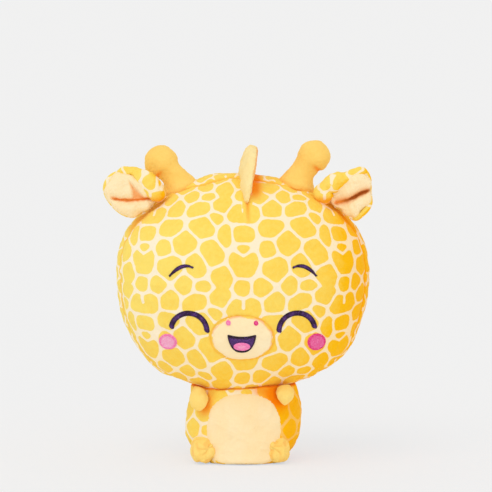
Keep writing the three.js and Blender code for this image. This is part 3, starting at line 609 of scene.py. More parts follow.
# How far a plain form reaches from its middle in each direction
def formReach(shape, direction, inset=0.0):
    up = direction[:, 2] > 0
    x = np.abs(direction[:, 0]) / (shape["halfWidth"] - inset)
    y = np.abs(direction[:, 1]) / (np.where(direction[:, 1] < 0, shape["front"], shape["back"]) - inset)
    z = np.abs(direction[:, 2]) / (np.where(up, shape["top"], shape["bottom"]) - inset)
    power = np.where(up, shape["topPower"], shape["bottomPower"])
    plan = (x ** shape["planPower"] + y ** shape["planPower"]) ** (1 / shape["planPower"])
    return (plan ** power + z ** power) ** (-1 / power)


# How far the head's plain form rises or falls from its middle at places across and back; way is top or bottom
def headRise(x, y, way):
    plan, power = headShape["planPower"], headShape[way + "Power"]
    depth = np.where(y < 0, headShape["front"], headShape["back"])
    share = ((np.abs(x) / headShape["halfWidth"]) ** plan + (np.abs(y) / depth) ** plan) ** (1 / plan)
    return headShape[way] * np.clip(1 - share ** power, 0, 1) ** (1 / power)


# How deep the front of the head's plain form lies at places across and up from its middle
def plainDepth(x, z):
    plan = headShape["planPower"]
    power = np.where(z > 0, headShape["topPower"], headShape["bottomPower"])
    reach = np.where(z > 0, headShape["top"], headShape["bottom"])
    ring = np.clip(1 - (np.abs(z) / reach) ** power, 1e-6, 1) ** (1 / power)
    rest = np.clip(ring ** plan - (np.abs(x) / headShape["halfWidth"]) ** plan, 1e-6, 1)
    return -headShape["front"] * rest ** (1 / plan)


# The way straight out of the head's plain form at places on it, which count from its middle
def headNormals(local):
    plan, above = headShape["planPower"], local[:, 2] > 0
    power = np.where(above, headShape["topPower"], headShape["bottomPower"])
    half = np.stack([np.full(len(local), headShape["halfWidth"]),
                     np.where(local[:, 1] < 0, headShape["front"], headShape["back"]),
                     np.where(above, headShape["top"], headShape["bottom"])], axis=1)
    share = np.abs(local) / half
    mixed = (share[:, 0] ** plan + share[:, 1] ** plan) ** (power / plan - 1)
    steep = [mixed * share[:, 0] ** (plan - 1), mixed * share[:, 1] ** (plan - 1), share[:, 2] ** (power - 1)]
    return unit(np.sign(local) * np.stack(steep, axis=1) / half)


# How far the filling pushes the head's cloth out at each place, which counts from its middle
def headSwell(local):
    return sum(height * hill(np.linalg.norm(local - np.array(place), axis=-1), width)
               for *place, width, height in headShape["swells"])


def headUnder(x, y):  # the height of the head's underside
    low = -headRise(x, y, "bottom")
    return headShape["centre"][2] + low - headSwell(np.stack([x, y, low], axis=-1))


def muzzleShare(x, z):  # 1 on the muzzle's edge; heights count from the head's middle
    return np.hypot((x - muzzle["middle"]) / muzzle["halfWidth"], (z + muzzle["drop"]) / muzzle["halfHeight"])


# Places on the printed cloth of the head: it lies evenly outward from the middle of the face, or of the back
def headCloth(points):
    local = points - np.array(headShape["centre"])
    front, left = local[:, 1] < -headSeams["setback"], local[:, 0] > 0
    deep = np.where(local[:, 1] < 0, headShape["front"], headShape["back"])
    side = np.hypot(local[:, 0], local[:, 2])
    outward = local * (1, 0, 1) / np.maximum(side, 1e-6)[:, None]
    rim = formReach(headShape, outward)
    turn = np.arctan2(side / rim, -local[:, 1] / deep)
    turn = np.where(front, turn, math.pi - turn)
    length = np.zeros(len(points))
    for step in range(headLay["slices"]):
        angle = turn * (step + 0.5) / headLay["slices"]
        length += np.hypot(rim * np.cos(angle), headShape["front"] * np.sin(angle)) * turn / headLay["slices"]
    across, up = outward[:, 0] * length, outward[:, 2] * length
    start = np.where(left[:, None], headLay["left"], headLay["right"])
    start = np.where(front[:, None], headLay["front"], start)
    return np.where(front, across, -across) + start[:, 0], up + start[:, 1]


def sewHead():  # the filled cover, held along the seam round the face and along the one down the back
    directions, faces = quadBall(headShape["quads"])
    points = directions * formReach(headShape, directions, headShape["inset"])[:, None]
    onSeam = np.abs(points[:, 1] + headSeams["setback"]) < headSeams["snap"]
    pinned = onSeam | (np.abs(points[:, 0]) < 0.5) & (points[:, 1] > -headSeams["setback"])
    points[onSeam, 1] = -headSeams["setback"]
    points[pinned] -= vertexNormals(points, faces)[pinned] * headSeams["tuck"]
    points = stuffed(points, faces, pinned, headSeams["cap"])
    return refined(points + np.array(headShape["centre"]), faces, 2)


# How far places of the plain cover lie from the seams, the muzzle's edge and the dart in the forehead
def headPlaces(points):
    local = points - np.array(headShape["centre"])
    fromDart, along = segmentDistance(points[:, [0, 2]], headDart["top"], headDart["bottom"])
    facing = local[:, 1] < -headShape["faceDepth"]
    muzzleEdge = muzzleShare(local[:, 0], local[:, 2])
    return {
        "local": local, "facing": facing, "fromDart": fromDart, "fade": 1 - headDart["fade"] * along,
        "fromSeam": np.abs(local[:, 1] + headSeams["setback"]),
        "fromBack": np.where(local[:, 1] > -headSeams["setback"], np.abs(local[:, 0]), 99),
        "fromMuzzle": np.where(facing, (muzzleEdge - headSeams["muzzleEdge"]) * 20, 99),
        "fromRing": np.where(facing, (muzzleEdge - headSeams["muzzleRing"]) * 20, 99),
    }


def headRelief(points, at):  # how far each place of the cover stands out of its plain form
    local, seams, dart = at["local"], headSeams, headDart
    ring = np.arctan2(local[:, 2], local[:, 0])
    puckers = np.sin(ring * seams["puckers"] + 1.3 * np.sin(ring * 5))
    puckers = puckers * hill(at["fromSeam"], seams["puckerReach"]) * seams["puckerDepth"]
    backPuckers = np.sin(local[:, 2] / seams["backPuckerLength"]) * seams["backPuckerDepth"]
    backPuckers = backPuckers * hill(at["fromBack"], seams["backPuckerReach"])
    move = unevenness(points, headShape["lumps"]) + puckers + backPuckers
    move -= seams["depth"] * hill(at["fromSeam"], seams["width"])
    move -= seams["backDepth"] * hill(at["fromBack"], seams["backWidth"])
    move -= seams["muzzleDepth"] * hill(at["fromMuzzle"], 1.0)
    move += headSwell(local)
    (topX, topZ), (lowX, lowZ) = dart["top"], dart["bottom"]
    rightOf = points[:, 0] < np.interp(points[:, 2], (lowZ, topZ), (lowX, topX))
    move -= at["facing"] * dart["depth"] * hill(at["fromDart"], dart["width"]) * at["fade"]
    beside = hill(at["fromDart"] - dart["swellFrom"], dart["swellWidth"])
    return move + (at["facing"] & rightOf) * dart["swell"] * beside * at["fade"]


def headSpots(points, at, fromEar):  # painted shade: seams, the dart, the ring round the muzzle and the crevices by ears and mane show spot colour with no gaps
    shade, bare = headShade, giraffeSpots["bare"]
    spots = spotDepth(*headCloth(points))
    byDart = at["facing"] & (at["fromDart"] < headDart["bare"]) & (points[:, 2] > headDart["bareAbove"])
    spots = np.where(byDart, bare, spots) + bare * hill(at["fromRing"], 0.7)
    byMane = ramp(points[:, 0], *shade["maneBareNear"]) * ramp(points[:, 0], *shade["maneBareFar"])
    spots = spots + bare * byMane * ramp(points[:, 2], *shade["maneBareHeight"]) * at["facing"]
    onSeam = (at["fromSeam"] < headSeams["width"]) | (at["fromBack"] < headSeams["backWidth"])
    return np.where(onSeam | (fromEar < shade["earBare"]), bare, spots)


def headPaintedShade(points, normals, at, fromEar):  # painted shade: how deep the colour is made at seams and in crevices, under the head, beside the mane and on the right side
    shade, local = headShade, at["local"]

    def line(name, distance):
        amount, width = shade[name]
        return amount * hill(distance, width)

    dark = np.maximum(line("seam", at["fromSeam"]), line("ear", fromEar)) + line("back", at["fromBack"])
    dark += at["facing"] * line("dart", at["fromDart"]) * at["fade"] + line("muzzle", at["fromMuzzle"])
    under = ramp(-local[:, 2], *shade["underHeight"])
    dark += shade["under"] * under * ramp(np.hypot(points[:, 0], points[:, 1]), *shade["underReach"])
    byMane = ramp(points[:, 0], *shade["maneNear"]) * ramp(points[:, 0], *shade["maneFar"])
    dark += shade["mane"] * byMane * ramp(points[:, 2], *shade["maneHeight"]) * (local[:, 1] < 4)
    return dark + shade["side"] * ramp(normals[:, 0], 0.6, 0.95) * (local[:, 1] < 10)


def buildHead():
    points, faces = sewHead()
    normals, at = vertexNormals(points, faces), headPlaces(points)
    points = points + normals * headRelief(points, at)[:, None]
    oneSide = np.stack([np.abs(points[:, 0]), points[:, 1], points[:, 2]], axis=1)
    fromEar, _ = segmentDistance(oneSide, *headShade["earLine"])
    dark = headPaintedShade(points, normals, at, fromEar)
    head = makePiece("head_cover", points, faces, materials["print"])
    # painted shade: the deepened colour at seams and crevices, and the orange on the sides away from the
    # window
    paint(head, spot=headSpots(points, at, fromEar), seam=np.clip(dark, 0, 0.9), warm=warmth(normals))
    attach(head, "head")
    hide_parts("head_front_panel", "head_back_left_panel", "head_back_right_panel", "head_filling")
    return head


# Finds the cloth of a piece behind places across and up, as seen from the front
class Surface:
    def __init__(self, piece):
        mesh = piece.data
        points = np.zeros(len(mesh.vertices) * 3)
        mesh.vertices.foreach_get("co", points)
        points = [Vector(p) for p in points.reshape(-1, 3) / mm]
        self.tree = BVHTree.FromPolygons(points, [tuple(p.vertices) for p in mesh.polygons])

    def depth(self, x, z, start=-200.0):
        found = [self.tree.ray_cast(Vector((px, start, pz)), Vector((0, 1, 0)))[0] for px, pz in zip(x, z)]
        return np.array([np.nan if spot is None else spot.y for spot in found])


headPiece = buildHead()
headSurface = Surface(headPiece)
print("head:", len(headPiece.data.vertices), "points")


# Places across and up from the head's middle, at a depth and lifted off the cloth
def offHead(x, z, depth, lift):
    way = headNormals(np.stack([x, plainDepth(x, z), z], axis=1))
    return np.stack([x, depth, z + headShape["centre"][2]], axis=1) + way * lift[:, None]


def onFace(x, z, lift):
    return offHead(x, z, headSurface.depth(x, z + headShape["centre"][2]), lift)


# The stuffed head round the muzzle, smoothed: its plain form plus the low curve that the filling adds
def lowCurve(x, z):
    u, v = x / muzzle["halfWidth"], (z + muzzle["drop"]) / muzzle["halfHeight"]
    return np.stack([np.ones_like(u), u, v, u * u, u * v, v * v, u * u * v, v ** 3], axis=1)


def fitMuzzle():
    angle, share = np.meshgrid(np.linspace(0, 2 * math.pi, 36, endpoint=False), np.linspace(0.1, 1.02, 8))
    x = muzzle["middle"] + (muzzle["halfWidth"] * share * np.cos(angle)).ravel()
    z = -muzzle["drop"] + (muzzle["halfHeight"] * share * np.sin(angle)).ravel()
    extra = headSurface.depth(x, z + headShape["centre"][2]) - plainDepth(x, z)
    return np.linalg.lstsq(lowCurve(x, z), extra, rcond=None)[0]


muzzleFit = fitMuzzle()


def underMuzzle(x, z, lift):
    return offHead(x, z, plainDepth(x, z) + lowCurve(x, z) @ muzzleFit, lift)


def muzzleRise(share):  # a low crown that rolls under at its sewn edge
    share = np.clip(share, 0, 1)
    rise = muzzle["edgeRise"] + muzzle["crownRise"] * (1 - share ** 2)
    return muzzle["rim"] + rise * np.sqrt(np.clip(1 - share ** 9, 0, 1))


def overMuzzle(x, z, lift):
    return underMuzzle(x, z, muzzleRise(muzzleShare(x, z)) + lift)


# Face: places count across and up from the head's middle, spreads and drops away from it
face = {
    "eyeSpread": 39.8, "eyeDrop": 38.6, "eyeRadius": 13.2, "eyeHalf": 2.05, "eyeTilt": 4,
    "browInner": (36.6, 8.4), "browPeak": (45.4, 8.9), "browOuter": (54.2, 1.6), "browHalf": 1.5,
    "cheekDrop": 48.5, "cheekRise": 0.9, "cheekTurn": 0.8,
    "noseMiddle": -0.5, "nostrilSpread": 10.1, "nostrilDrop": 31.6, "nostrilRadius": 1.75, "nostrilRise": 0.7,
    "mouthMiddle": -0.8, "mouthHalf": 10.6, "mouthTop": -39.6, "mouthDepth": 13.7, "mouthRound": 1.1,
    "lipDip": 1.5, "mouthRise": 0.75, "tongueHalf": (6.0, 3.0), "tongueDrop": 48.2, "tongueLift": 0.85,
    "left": {"cheekSpread": 54.5, "cheekHalf": (6.8, 6.6), "cheekGlow": 0.35, "thread": "pink"},
    "right": {"cheekSpread": 55.5, "cheekHalf": (6.7, 6.0), "cheekGlow": 0.6, "thread": "palePink"},
}


def buildMuzzle():
    middle = (muzzle["middle"], -muzzle["drop"])

    def outline(angle):
        wobble = 1 + 0.006 * np.sin(angle * 9) + 0.004 * np.sin(angle * 23 + 1)
        return (middle[0] + muzzle["halfWidth"] * np.cos(angle) * wobble,
                middle[1] + muzzle["halfHeight"] * np.sin(angle) * wobble)

    def height(x, z, share):
        return muzzleRise(share)

    pad = facePad(outline, middle, muzzle["rings"], muzzle["around"], height, muzzle["sink"], underMuzzle)
    points, faces, x, _, share = pad
    faces = outwardFaces(points, faces)
    top = np.arange(len(points)) < len(x)
    fromMouth = np.hypot(points[:, 0] - face["mouthMiddle"],
                         points[:, 2] - headShape["centre"][2] + face["tongueDrop"])
    move = unevenness(points, muzzle["lumps"]) * ramp(fromMouth, 10, 16) * top
    points = points + vertexNormals(points, faces) * move[:, None]
    pad = makePiece("muzzle_pad", points, faces, materials["muzzle"])
    # painted shade: a thin orange line just inside the pad's rolled edge
    paint(pad, seam=0.75 * hill((np.tile(share, 2) - 0.985) * 20, 0.5))
    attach(pad, "head")
    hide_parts("muzzle_patch")


buildMuzzle()

# Embroidery: rows of raised threads, which lie a little aslant in satin stitch
stitching = {
    "pitch": 0.46, "ridge": 0.13, "thickness": 0.75, "slant": 0.35, "samples": 4, "sink": -0.5, "length": 2.6,
    "lanes": (-1, -0.94, -0.8, -0.5, 0, 0.5, 0.8, 0.94, 1), "gleam": 0.66, "fillRidge": 0.1, "endDip": 0.16,
}


# Satin stitch along a line of places; half gives half the width along it
def satin(path, half, place):
    pitch = stitching["pitch"]
    length = np.concatenate([[0], np.cumsum(np.linalg.norm(np.diff(path, axis=0), axis=1))])
    spots = np.linspace(0, length[-1], int(length[-1] / pitch) * stitching["samples"] + 1)
    middle = np.stack([np.interp(spots, length, path[:, k]) for k in (0, 1)], axis=1)
    along = unit(np.gradient(middle, axis=0))
    sideways = np.stack([-along[:, 1], along[:, 0]], axis=1)
    widths = half(spots / length[-1])
    lanes = np.array(stitching["lanes"])
    rise = stitching["thickness"] * np.sqrt(np.clip(1 - np.abs(lanes) ** 3, 0, 1))
    wave = np.cos(spots * 2 * math.pi / pitch)
    places, lift = [], []
    for lane, up in zip(lanes, rise):
        rough = 1 + 0.03 * np.sin(spots * 2 * math.pi / pitch / 2 + 2 * lane)
        shift = stitching["slant"] * lane * widths
        places.append(middle + sideways * (widths * lane * rough)[:, None] + along * shift[:, None])
        lift.append(up + stitching["ridge"] * wave * (up > 0.1) - 0.1)
    x, z = np.concatenate(places).T
    top = place(x, z, np.concatenate(lift)).reshape(len(lanes), -1, 3)
    low = place(x, z, np.full(x.size, stitching["sink"])).reshape(len(lanes), -1, 3)
    rings = [np.concatenate([top[:, step], low[::-1, step]]) for step in range(len(spots))]
    sheen = np.concatenate([1 - np.abs(lanes) ** 1.2, np.zeros(len(lanes))])
    drift = 0.62 + 0.38 * np.sin(spots / 1.5 + 2 * np.sin(spots / 4.7))
    gleam = stitching["gleam"] * (0.5 + 0.5 * chance.random(len(spots))) * drift
    glow = np.concatenate([np.tile(sheen, len(spots)) * gleam.repeat(len(sheen)), [0, 0]])
    return (*loftSkin(rings), glow)


# Rows of short stitches that fill an outline; inside gives how far in a place lies, in millimetres
def filled(inside, box, place, rise, turn=0.0, grain=0.24):
    low, high = box
    xs, zs = (np.linspace(low[k], high[k], int((high[k] - low[k]) / grain) + 1) for k in (0, 1))
    gridX, gridZ = np.meshgrid(xs, zs, indexing="ij")
    depth = inside(gridX, gridZ)
    keep = depth > -grain * 0.7
    # pull the border nodes onto the outline so that the edge is smooth
    slopeX, slopeZ = np.gradient(depth, xs, zs)
    steepness = np.maximum(np.hypot(slopeX, slopeZ), 1e-6)
    pull = 0.96 * depth / steepness ** 2  # all the way would put neighbours on one spot
    border = np.abs(depth) < grain * 0.9
    gridX = np.where(border, gridX - slopeX * pull, gridX)
    gridZ = np.where(border, gridZ - slopeZ * pull, gridZ)
    c, s = math.cos(turn), math.sin(turn)
    row = (gridX * c + gridZ * s) / stitching["pitch"]
    run = (gridZ * c - gridX * s) / stitching["length"] + 0.37 * np.floor(row)
    ends = hill((run - np.round(run)) * stitching["length"], 0.35)
    ridges = stitching["fillRidge"] * np.cos(row * 2 * math.pi) - stitching["endDip"] * ends
    top = rise * np.clip(depth / 0.5, 0, 1) ** 0.5 + ridges
    cells = keep[:-1, :-1] & keep[1:, :-1] & keep[1:, 1:] & keep[:-1, 1:]
    used = np.zeros(gridX.shape, bool)
    for i in (0, 1):
        for j in (0, 1):
            used[i:used.shape[0] - 1 + i, j:used.shape[1] - 1 + j] |= cells
    number = -np.ones(gridX.shape, int)
    total = used.sum()
    number[used] = np.arange(total)
    faces, edges = [], {}
    for i, j in np.argwhere(cells):
        quad = (number[i, j], number[i + 1, j], number[i + 1, j + 1], number[i, j + 1])
        faces.append(quad)
        faces.append(tuple(total + q for q in quad[::-1]))
        edges.update(dict.fromkeys(zip(quad, quad[1:] + quad[:1])))
    faces.extend((b, a, total + a, total + b) for a, b in edges if (b, a) not in edges)
    x, z = gridX[used], gridZ[used]
    points = np.concatenate([place(x, z, top[used]), place(x, z, np.full(total, stitching["sink"]))])
    glow = ramp(np.concatenate([depth[used], np.zeros(total)]), 0.9, 2.4) * (1 - 0.6 * np.tile(ends[used], 2))
    return points, outwardFaces(points, faces), glow


def stitchPiece(name, shape, material, node, glow=1.0):
    piece = makePiece(name, shape[0], shape[1], materials[material])
    paint(piece, glow=shape[2] * glow)
    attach(piece, "head")
    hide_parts(node)


def stitchEye(side, sign):
    tilt = math.radians(face["eyeTilt"])
    angles = np.linspace(tilt, math.pi + tilt, 60)
    path = np.stack([sign * (face["eyeSpread"] + face["eyeRadius"] * np.cos(angles)),
                     -face["eyeDrop"] + face["eyeRadius"] * np.sin(angles)], axis=1)

    def half(share):
        return face["eyeHalf"] * np.clip(np.minimum(share, 1 - share) / 0.035 + 0.35, 0, 1) ** 0.5

    stitchPiece(f"eye_{side}_satin", satin(path, half, onFace), "navy", f"eye_{side}")


def stitchBrow(side, sign):
    inner, peak, outer = (np.array(face[key]) for key in ("browInner", "browPeak", "browOuter"))
    bend = 2 * peak - (inner + outer) / 2
    t = np.linspace(0, 1, 40)[:, None]
    path = ((1 - t) ** 2 * inner + 2 * t * (1 - t) * bend + t ** 2 * outer) * (sign, 1)

    def half(share):
        return face["browHalf"] * np.clip(np.sin(math.pi * share), 0.35, 1) ** 0.6

    stitchPiece(f"brow_{side}_satin", satin(path, half, onFace), "navy", f"brow_{side}")


def oval(cx, cz, wide, tall, margin=0.5):  # how far a place lies inside an oval, and the box round the oval
    def inside(x, z):
        return (1 - np.hypot((x - cx) / wide, (z - cz) / tall)) * tall
    return inside, ((cx - wide - margin, cz - tall - margin), (cx + wide + margin, cz + tall + margin))


def stitchCheek(side, sign):
    own = face[side]
    spot = oval(sign * own["cheekSpread"], -face["cheekDrop"], *own["cheekHalf"], margin=0.6)
    shape = filled(*spot, onFace, face["cheekRise"], turn=face["cheekTurn"])
    stitchPiece(f"cheek_{side}_stitches", shape, own["thread"], f"cheek_{side}", glow=own["cheekGlow"])


def stitchNostril(side, sign):
    x, radius = face["noseMiddle"] + sign * face["nostrilSpread"], face["nostrilRadius"]
    spot = oval(x, -face["nostrilDrop"], radius, radius)
    shape = filled(*spot, overMuzzle, face["nostrilRise"], turn=0.3, grain=0.16)
    stitchPiece(f"nostril_{side}_stitches", shape, face[side]["thread"], f"nostril_{side}")


def insideMouth(x, z):
    half, top, rounded = face["mouthHalf"], face["mouthTop"], face["mouthRound"]
    off = np.abs(x - face["mouthMiddle"])
    share = np.clip(off / half, 0, 1.2)
    upper = top - face["lipDip"] * (1 - share ** 2) - z  # the upper lip dips in the middle
    lowerEdge = top - face["mouthDepth"] * np.clip(1 - share ** 2.6, 0, 1) ** 0.66
    edges = np.array([upper, (z - lowerEdge) * 0.75, half - off])
    return -rounded / 2 * np.log(np.exp(-edges / rounded * 2).sum(axis=0))


def stitchMouth():
    middle, half, top = face["mouthMiddle"], face["mouthHalf"], face["mouthTop"]
    box = ((middle - half - 0.6, top - face["mouthDepth"] - 0.8), (middle + half + 0.6, top + 0.8))
    shape = filled(insideMouth, box, overMuzzle, face["mouthRise"], grain=0.2)
    stitchPiece("mouth_stitches", shape, "navy", "mouth", glow=0.6 * chance.uniform(0.5, 1.0, len(shape[2])))


def stitchTongue():
    def overMouth(x, z, lift):
        return overMuzzle(x, z, lift + face["tongueLift"])

    spot = oval(face["mouthMiddle"], -face["tongueDrop"], *face["tongueHalf"])
    shape = filled(*spot, overMouth, face["mouthRise"], turn=math.pi / 2, grain=0.2)
    stitchPiece("tongue_stitches", shape, "palePink", "tongue", glow=0.4)


for side, sign in sides:
    stitchEye(side, sign)
    stitchBrow(side, sign)
    stitchCheek(side, sign)
    stitchNostril(side, sign)
stitchMouth()
stitchTongue()
print("face stitched")

# Body: a profile gives half the width and a sideways shift at each height
bodyShape = {
    "centre": (0, 0, 30), "halfWidth": 43.4, "front": 37.5, "back": 34, "top": 42, "bottom": 52,
    "planPower": 2.2, "topPower": 3.0, "bottomPower": 3.2, "quads": 24, "inset": 0.6,
    "floor": 0.4, "seat": 47.6, "pressed": 1.5, "slope": 0.03, "cap": 1.4,
    "profileHeights": (0, 9, 18, 27, 36, 46, 53, 58),
    "profileHalves": (31.6, 37.9, 43.4, 44.8, 43.6, 41.3, 39.9, 38.6),
    "profileShifts": (-0.9, 0, -0.7, 0.5, 1.1, 1.2, 1.2, 1.0),
    "lumps": ((0.5, 26, 31), (0.18, 9, 32), (0.08, 3, 33)),
    "folds": 19, "foldDepth": 0.45, "foldHeights": (42, 54), "toes": 2.8, "clothRadius": 39,
    "neckFold": ((13, -34, 57), (27, -34, 50)),
}
arms = {
    "forward": 26, "length": 14.5, "splay": 4, "clearance": 2.7, "around": 40, "shadeForward": 8,
    "shares": (-0.22, 0.0, 0.25, 0.5, 0.75, 0.92, 1.0, 1.03),
    "radii": (4.6, 5.6, 6.7 * 0.98, 6.7, 6.7 * 0.86, 5.2 * 0.68, 2.2, 0.2),
    "left": {"spread": 31.2, "height": 55.0, "drop": 3, "shade": 6.0, "pinch": 0.4, "hang": 0.1,
             "restDegrees": 72, "seed": 62},
    "right": {"spread": 32.8, "height": 53.6, "drop": 9, "shade": 3.4, "pinch": 0.12, "hang": 0,
              "restDegrees": 36, "seed": 60},
}


def bodyTop(x, y):  # against the head's underside, and flat in the middle
    top = headUnder(x, y) + bodyShape["pressed"] + bodyShape["slope"] * np.hypot(x, y)
    return np.maximum(bodyShape["seat"], top)


def bodyPoints(directions, inset):
    shape, centre = bodyShape, np.array(bodyShape["centre"])
    low, high = np.zeros(len(directions)), formReach(shape, directions, inset)
    for _ in range(26):  # halves the reach until the place lies under the head and above the floor
        middle = (low + high) / 2
        x, y, z = (directions * middle[:, None] + centre).T
        fits = (z > shape["floor"] + inset) & (z < bodyTop(x, y) - inset)
        low, high = np.where(fits, middle, low), np.where(fits, high, middle)
    points = directions * low[:, None] + centre
    height = points[:, 2]
    above = height > centre[2]
    up = np.where(above, (height - centre[2]) / shape["top"], (centre[2] - height) / shape["bottom"])
    power = np.where(above, shape["topPower"], shape["bottomPower"])
    plain = shape["halfWidth"] * np.clip(1 - up ** power, 0.05, 1) ** (1 / power)
    wanted = np.interp(height, shape["profileHeights"], shape["profileHalves"])
    shift = np.interp(height, shape["profileHeights"], shape["profileShifts"])
    outer = ramp(np.abs(points[:, 0]) / plain, 0.3, 0.9)
    shift = shift * ramp(np.abs(points[:, 0]), 0, 30)
    points[:, 0] = points[:, 0] * (1 + (wanted / plain - 1) * outer) + shift
    points[:, 2] = np.minimum(points[:, 2], bodyTop(points[:, 0], points[:, 1]) - inset)
    return points


def sewBody():
    directions, faces = quadBall(bodyShape["quads"])
    points = bodyPoints(directions, bodyShape["inset"])
    x, y, z = points.T
    flat = (z < bodyShape["floor"] + 1.4) | (z > bodyTop(x, y) - 1.6)
    points = stuffed(points, faces, flat | (np.abs(x) < 1) & (y > 0), bodyShape["cap"])
    return refined(points, faces, 2)


def bodyPaintedShade(points, fromBack):  # painted shade: how deep the colour is made at the back seam, under the head, along the neck fold and round the arms
    fromTop = bodyTop(points[:, 0], points[:, 1]) - points[:, 2]
    dark = 0.5 * hill(fromBack, 1.0) + 0.95 * ramp(fromTop, 4.6, 2.2)
    dark += 0.8 * hill(segmentDistance(points, *bodyShape["neckFold"])[0], 5.5)
    for side, sign in sides:
        own = arms[side]
        x, y = sign * own["spread"], -arms["forward"] - arms["shadeForward"]
        near, _ = segmentDistance(points, (x, y, own["height"]), (x, y, own["height"] - own["drop"]))
        dark += 0.9 * hill(np.maximum(near - 7, 0), own["shade"])
    return dark


def buildBody():
    points, faces = sewBody()
    normals = vertexNormals(points, faces)
    fromBack = np.where(points[:, 1] > 0, np.abs(points[:, 0]), 99)
    move = unevenness(points, bodyShape["lumps"]) - hill(fromBack, 1.1)
    # soft folds where the body is drawn in under the head
    angle = np.arctan2(points[:, 1], points[:, 0])
    folds = np.sin(angle * bodyShape["folds"] + 1.5 * np.sin(angle * 4))
    move += bodyShape["foldDepth"] * folds * ramp(points[:, 2], *bodyShape["foldHeights"])
    points = points + normals * (move * ramp(np.abs(normals[:, 2]), 0.9, 0.5))[:, None]
    points[:, 1] -= bodyShape["toes"] * ramp(points[:, 2], 9, 0) * ramp(-points[:, 1], 8, 28)
    points[:, 2] = np.maximum(points[:, 2] - 0.8 * ramp(points[:, 2], 5, 0), bodyShape["floor"])
    dark = bodyPaintedShade(points, fromBack)
    across = np.arctan2(points[:, 0], -points[:, 1]) * bodyShape["clothRadius"] - 3
    # where the painted shade is strong, the spots close over their gaps
    spots = spotDepth(across, points[:, 2] + 8) + giraffeSpots["bare"] * ramp(dark, 0.2, 0.6)
    # painted shade: the body is a little deeper orange than the head, and more on its right side, away from
    # the window
    warm = np.clip(warmth(normals) + 0.2, 0, 1) + 0.6 * ramp(normals[:, 0], 0.1, 0.6)
    body = makePiece("body_cover", points, faces, materials["print"])
    # painted shade: the darkening above, and a little more on the right side
    paint(body, spot=spots, seam=np.clip(dark + 0.14 * ramp(normals[:, 0], 0.2, 0.7), 0, 0.97), warm=warm)
    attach(body, "torso")
    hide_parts("body_left_panel", "body_right_panel", "body_filling", "pellet_bag")
    return body


bodySurface = Surface(buildBody())
tummy = {
    "middle": 24, "offset": 0.6, "halfWidth": 28.4, "top": 30.2, "low": 0.6, "rings": 30, "around": 200,
    "lumps": ((0.12, 14, 41), (0.04, 2.6, 42)), "thickness": 1.9, "sink": -1.0,
    "ragged": ((0.14, 61, 0), (0.14, 43, 2), (0.1, 83, 1)), "cornerPower": 0.4, "crownPower": 0.8,
    "taper": 0.03,
}


def buildTummy():
    def outline(angle):
        ragged = sum(size * np.sin(angle * count + shift) for size, count, shift in tummy["ragged"])
        up, side = np.sin(angle), np.cos(angle)
        power = np.where(up < 0, tummy["cornerPower"], tummy["crownPower"])
        x = np.sign(side) * np.abs(side) ** power * (tummy["halfWidth"] + ragged)
        x = x * (1 - tummy["taper"] * np.clip(-up, 0, 1)) + tummy["offset"]
        up = np.sign(up) * np.abs(up) ** power
        reach = np.where(up > 0, tummy["top"] + ragged, tummy["middle"] - tummy["low"])
        return x, tummy["middle"] + reach * up

    def place(x, z, lift):
        depth = bodySurface.depth(x, z)
        depth = np.where(np.isnan(depth), -20, depth)
        way = np.stack([x * 0.012, -np.ones(len(x)), np.zeros(len(x))], axis=1)
        return np.stack([x, depth, z], axis=1) + way * lift[:, None]

    def height(x, z, share):
        return -0.7 + tummy["thickness"] * np.sqrt(np.clip(1 - share ** 6, 0, 1))

    middle = (0, tummy["middle"])
    patch = facePad(outline, middle, tummy["rings"], tummy["around"], height, tummy["sink"], place)
    points, faces, x, _, _ = patch
    faces = outwardFaces(points, faces)
    top = np.arange(len(points)) < len(x)
    points = points + vertexNormals(points, faces) * (unevenness(points, tummy["lumps"]) * top)[:, None]
    points[:, 2] = np.maximum(points[:, 2], bodyShape["floor"])
    patch = makePiece("tummy_patch", points, faces, materials["tummy"])
    paint(patch, seam=np.zeros(len(points)))
    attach(patch, "torso")
    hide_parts("tummy_panel")


buildTummy()
print("body and tummy filled")

# Feet: gathers run in to a tacked place on the front of each
feet = {
    "forward": 26, "height": 10.4, "halfLength": 12.0, "halfHeight": 9.8, "inset": 0.4, "quads": 10,
    "power": 2.6, "cap": 1.0, "floor": 0.35, "tackInward": 3.2, "tackHeight": 2.6, "creaseDepth": 1.1,
    "tackDepth": 0.6, "gatherHeight": 0.3,
    "left": {"spread": 26.0, "halfWidth": 9.0, "gatherSeed": 54, "lumps": ((0.3, 9, 52), (0.08, 2.8, 52))},
    "right": {"spread": 29.2, "halfWidth": 10.0, "gatherSeed": 52, "lumps": ((0.3, 9, 50), (0.08, 2.8, 52))},
}


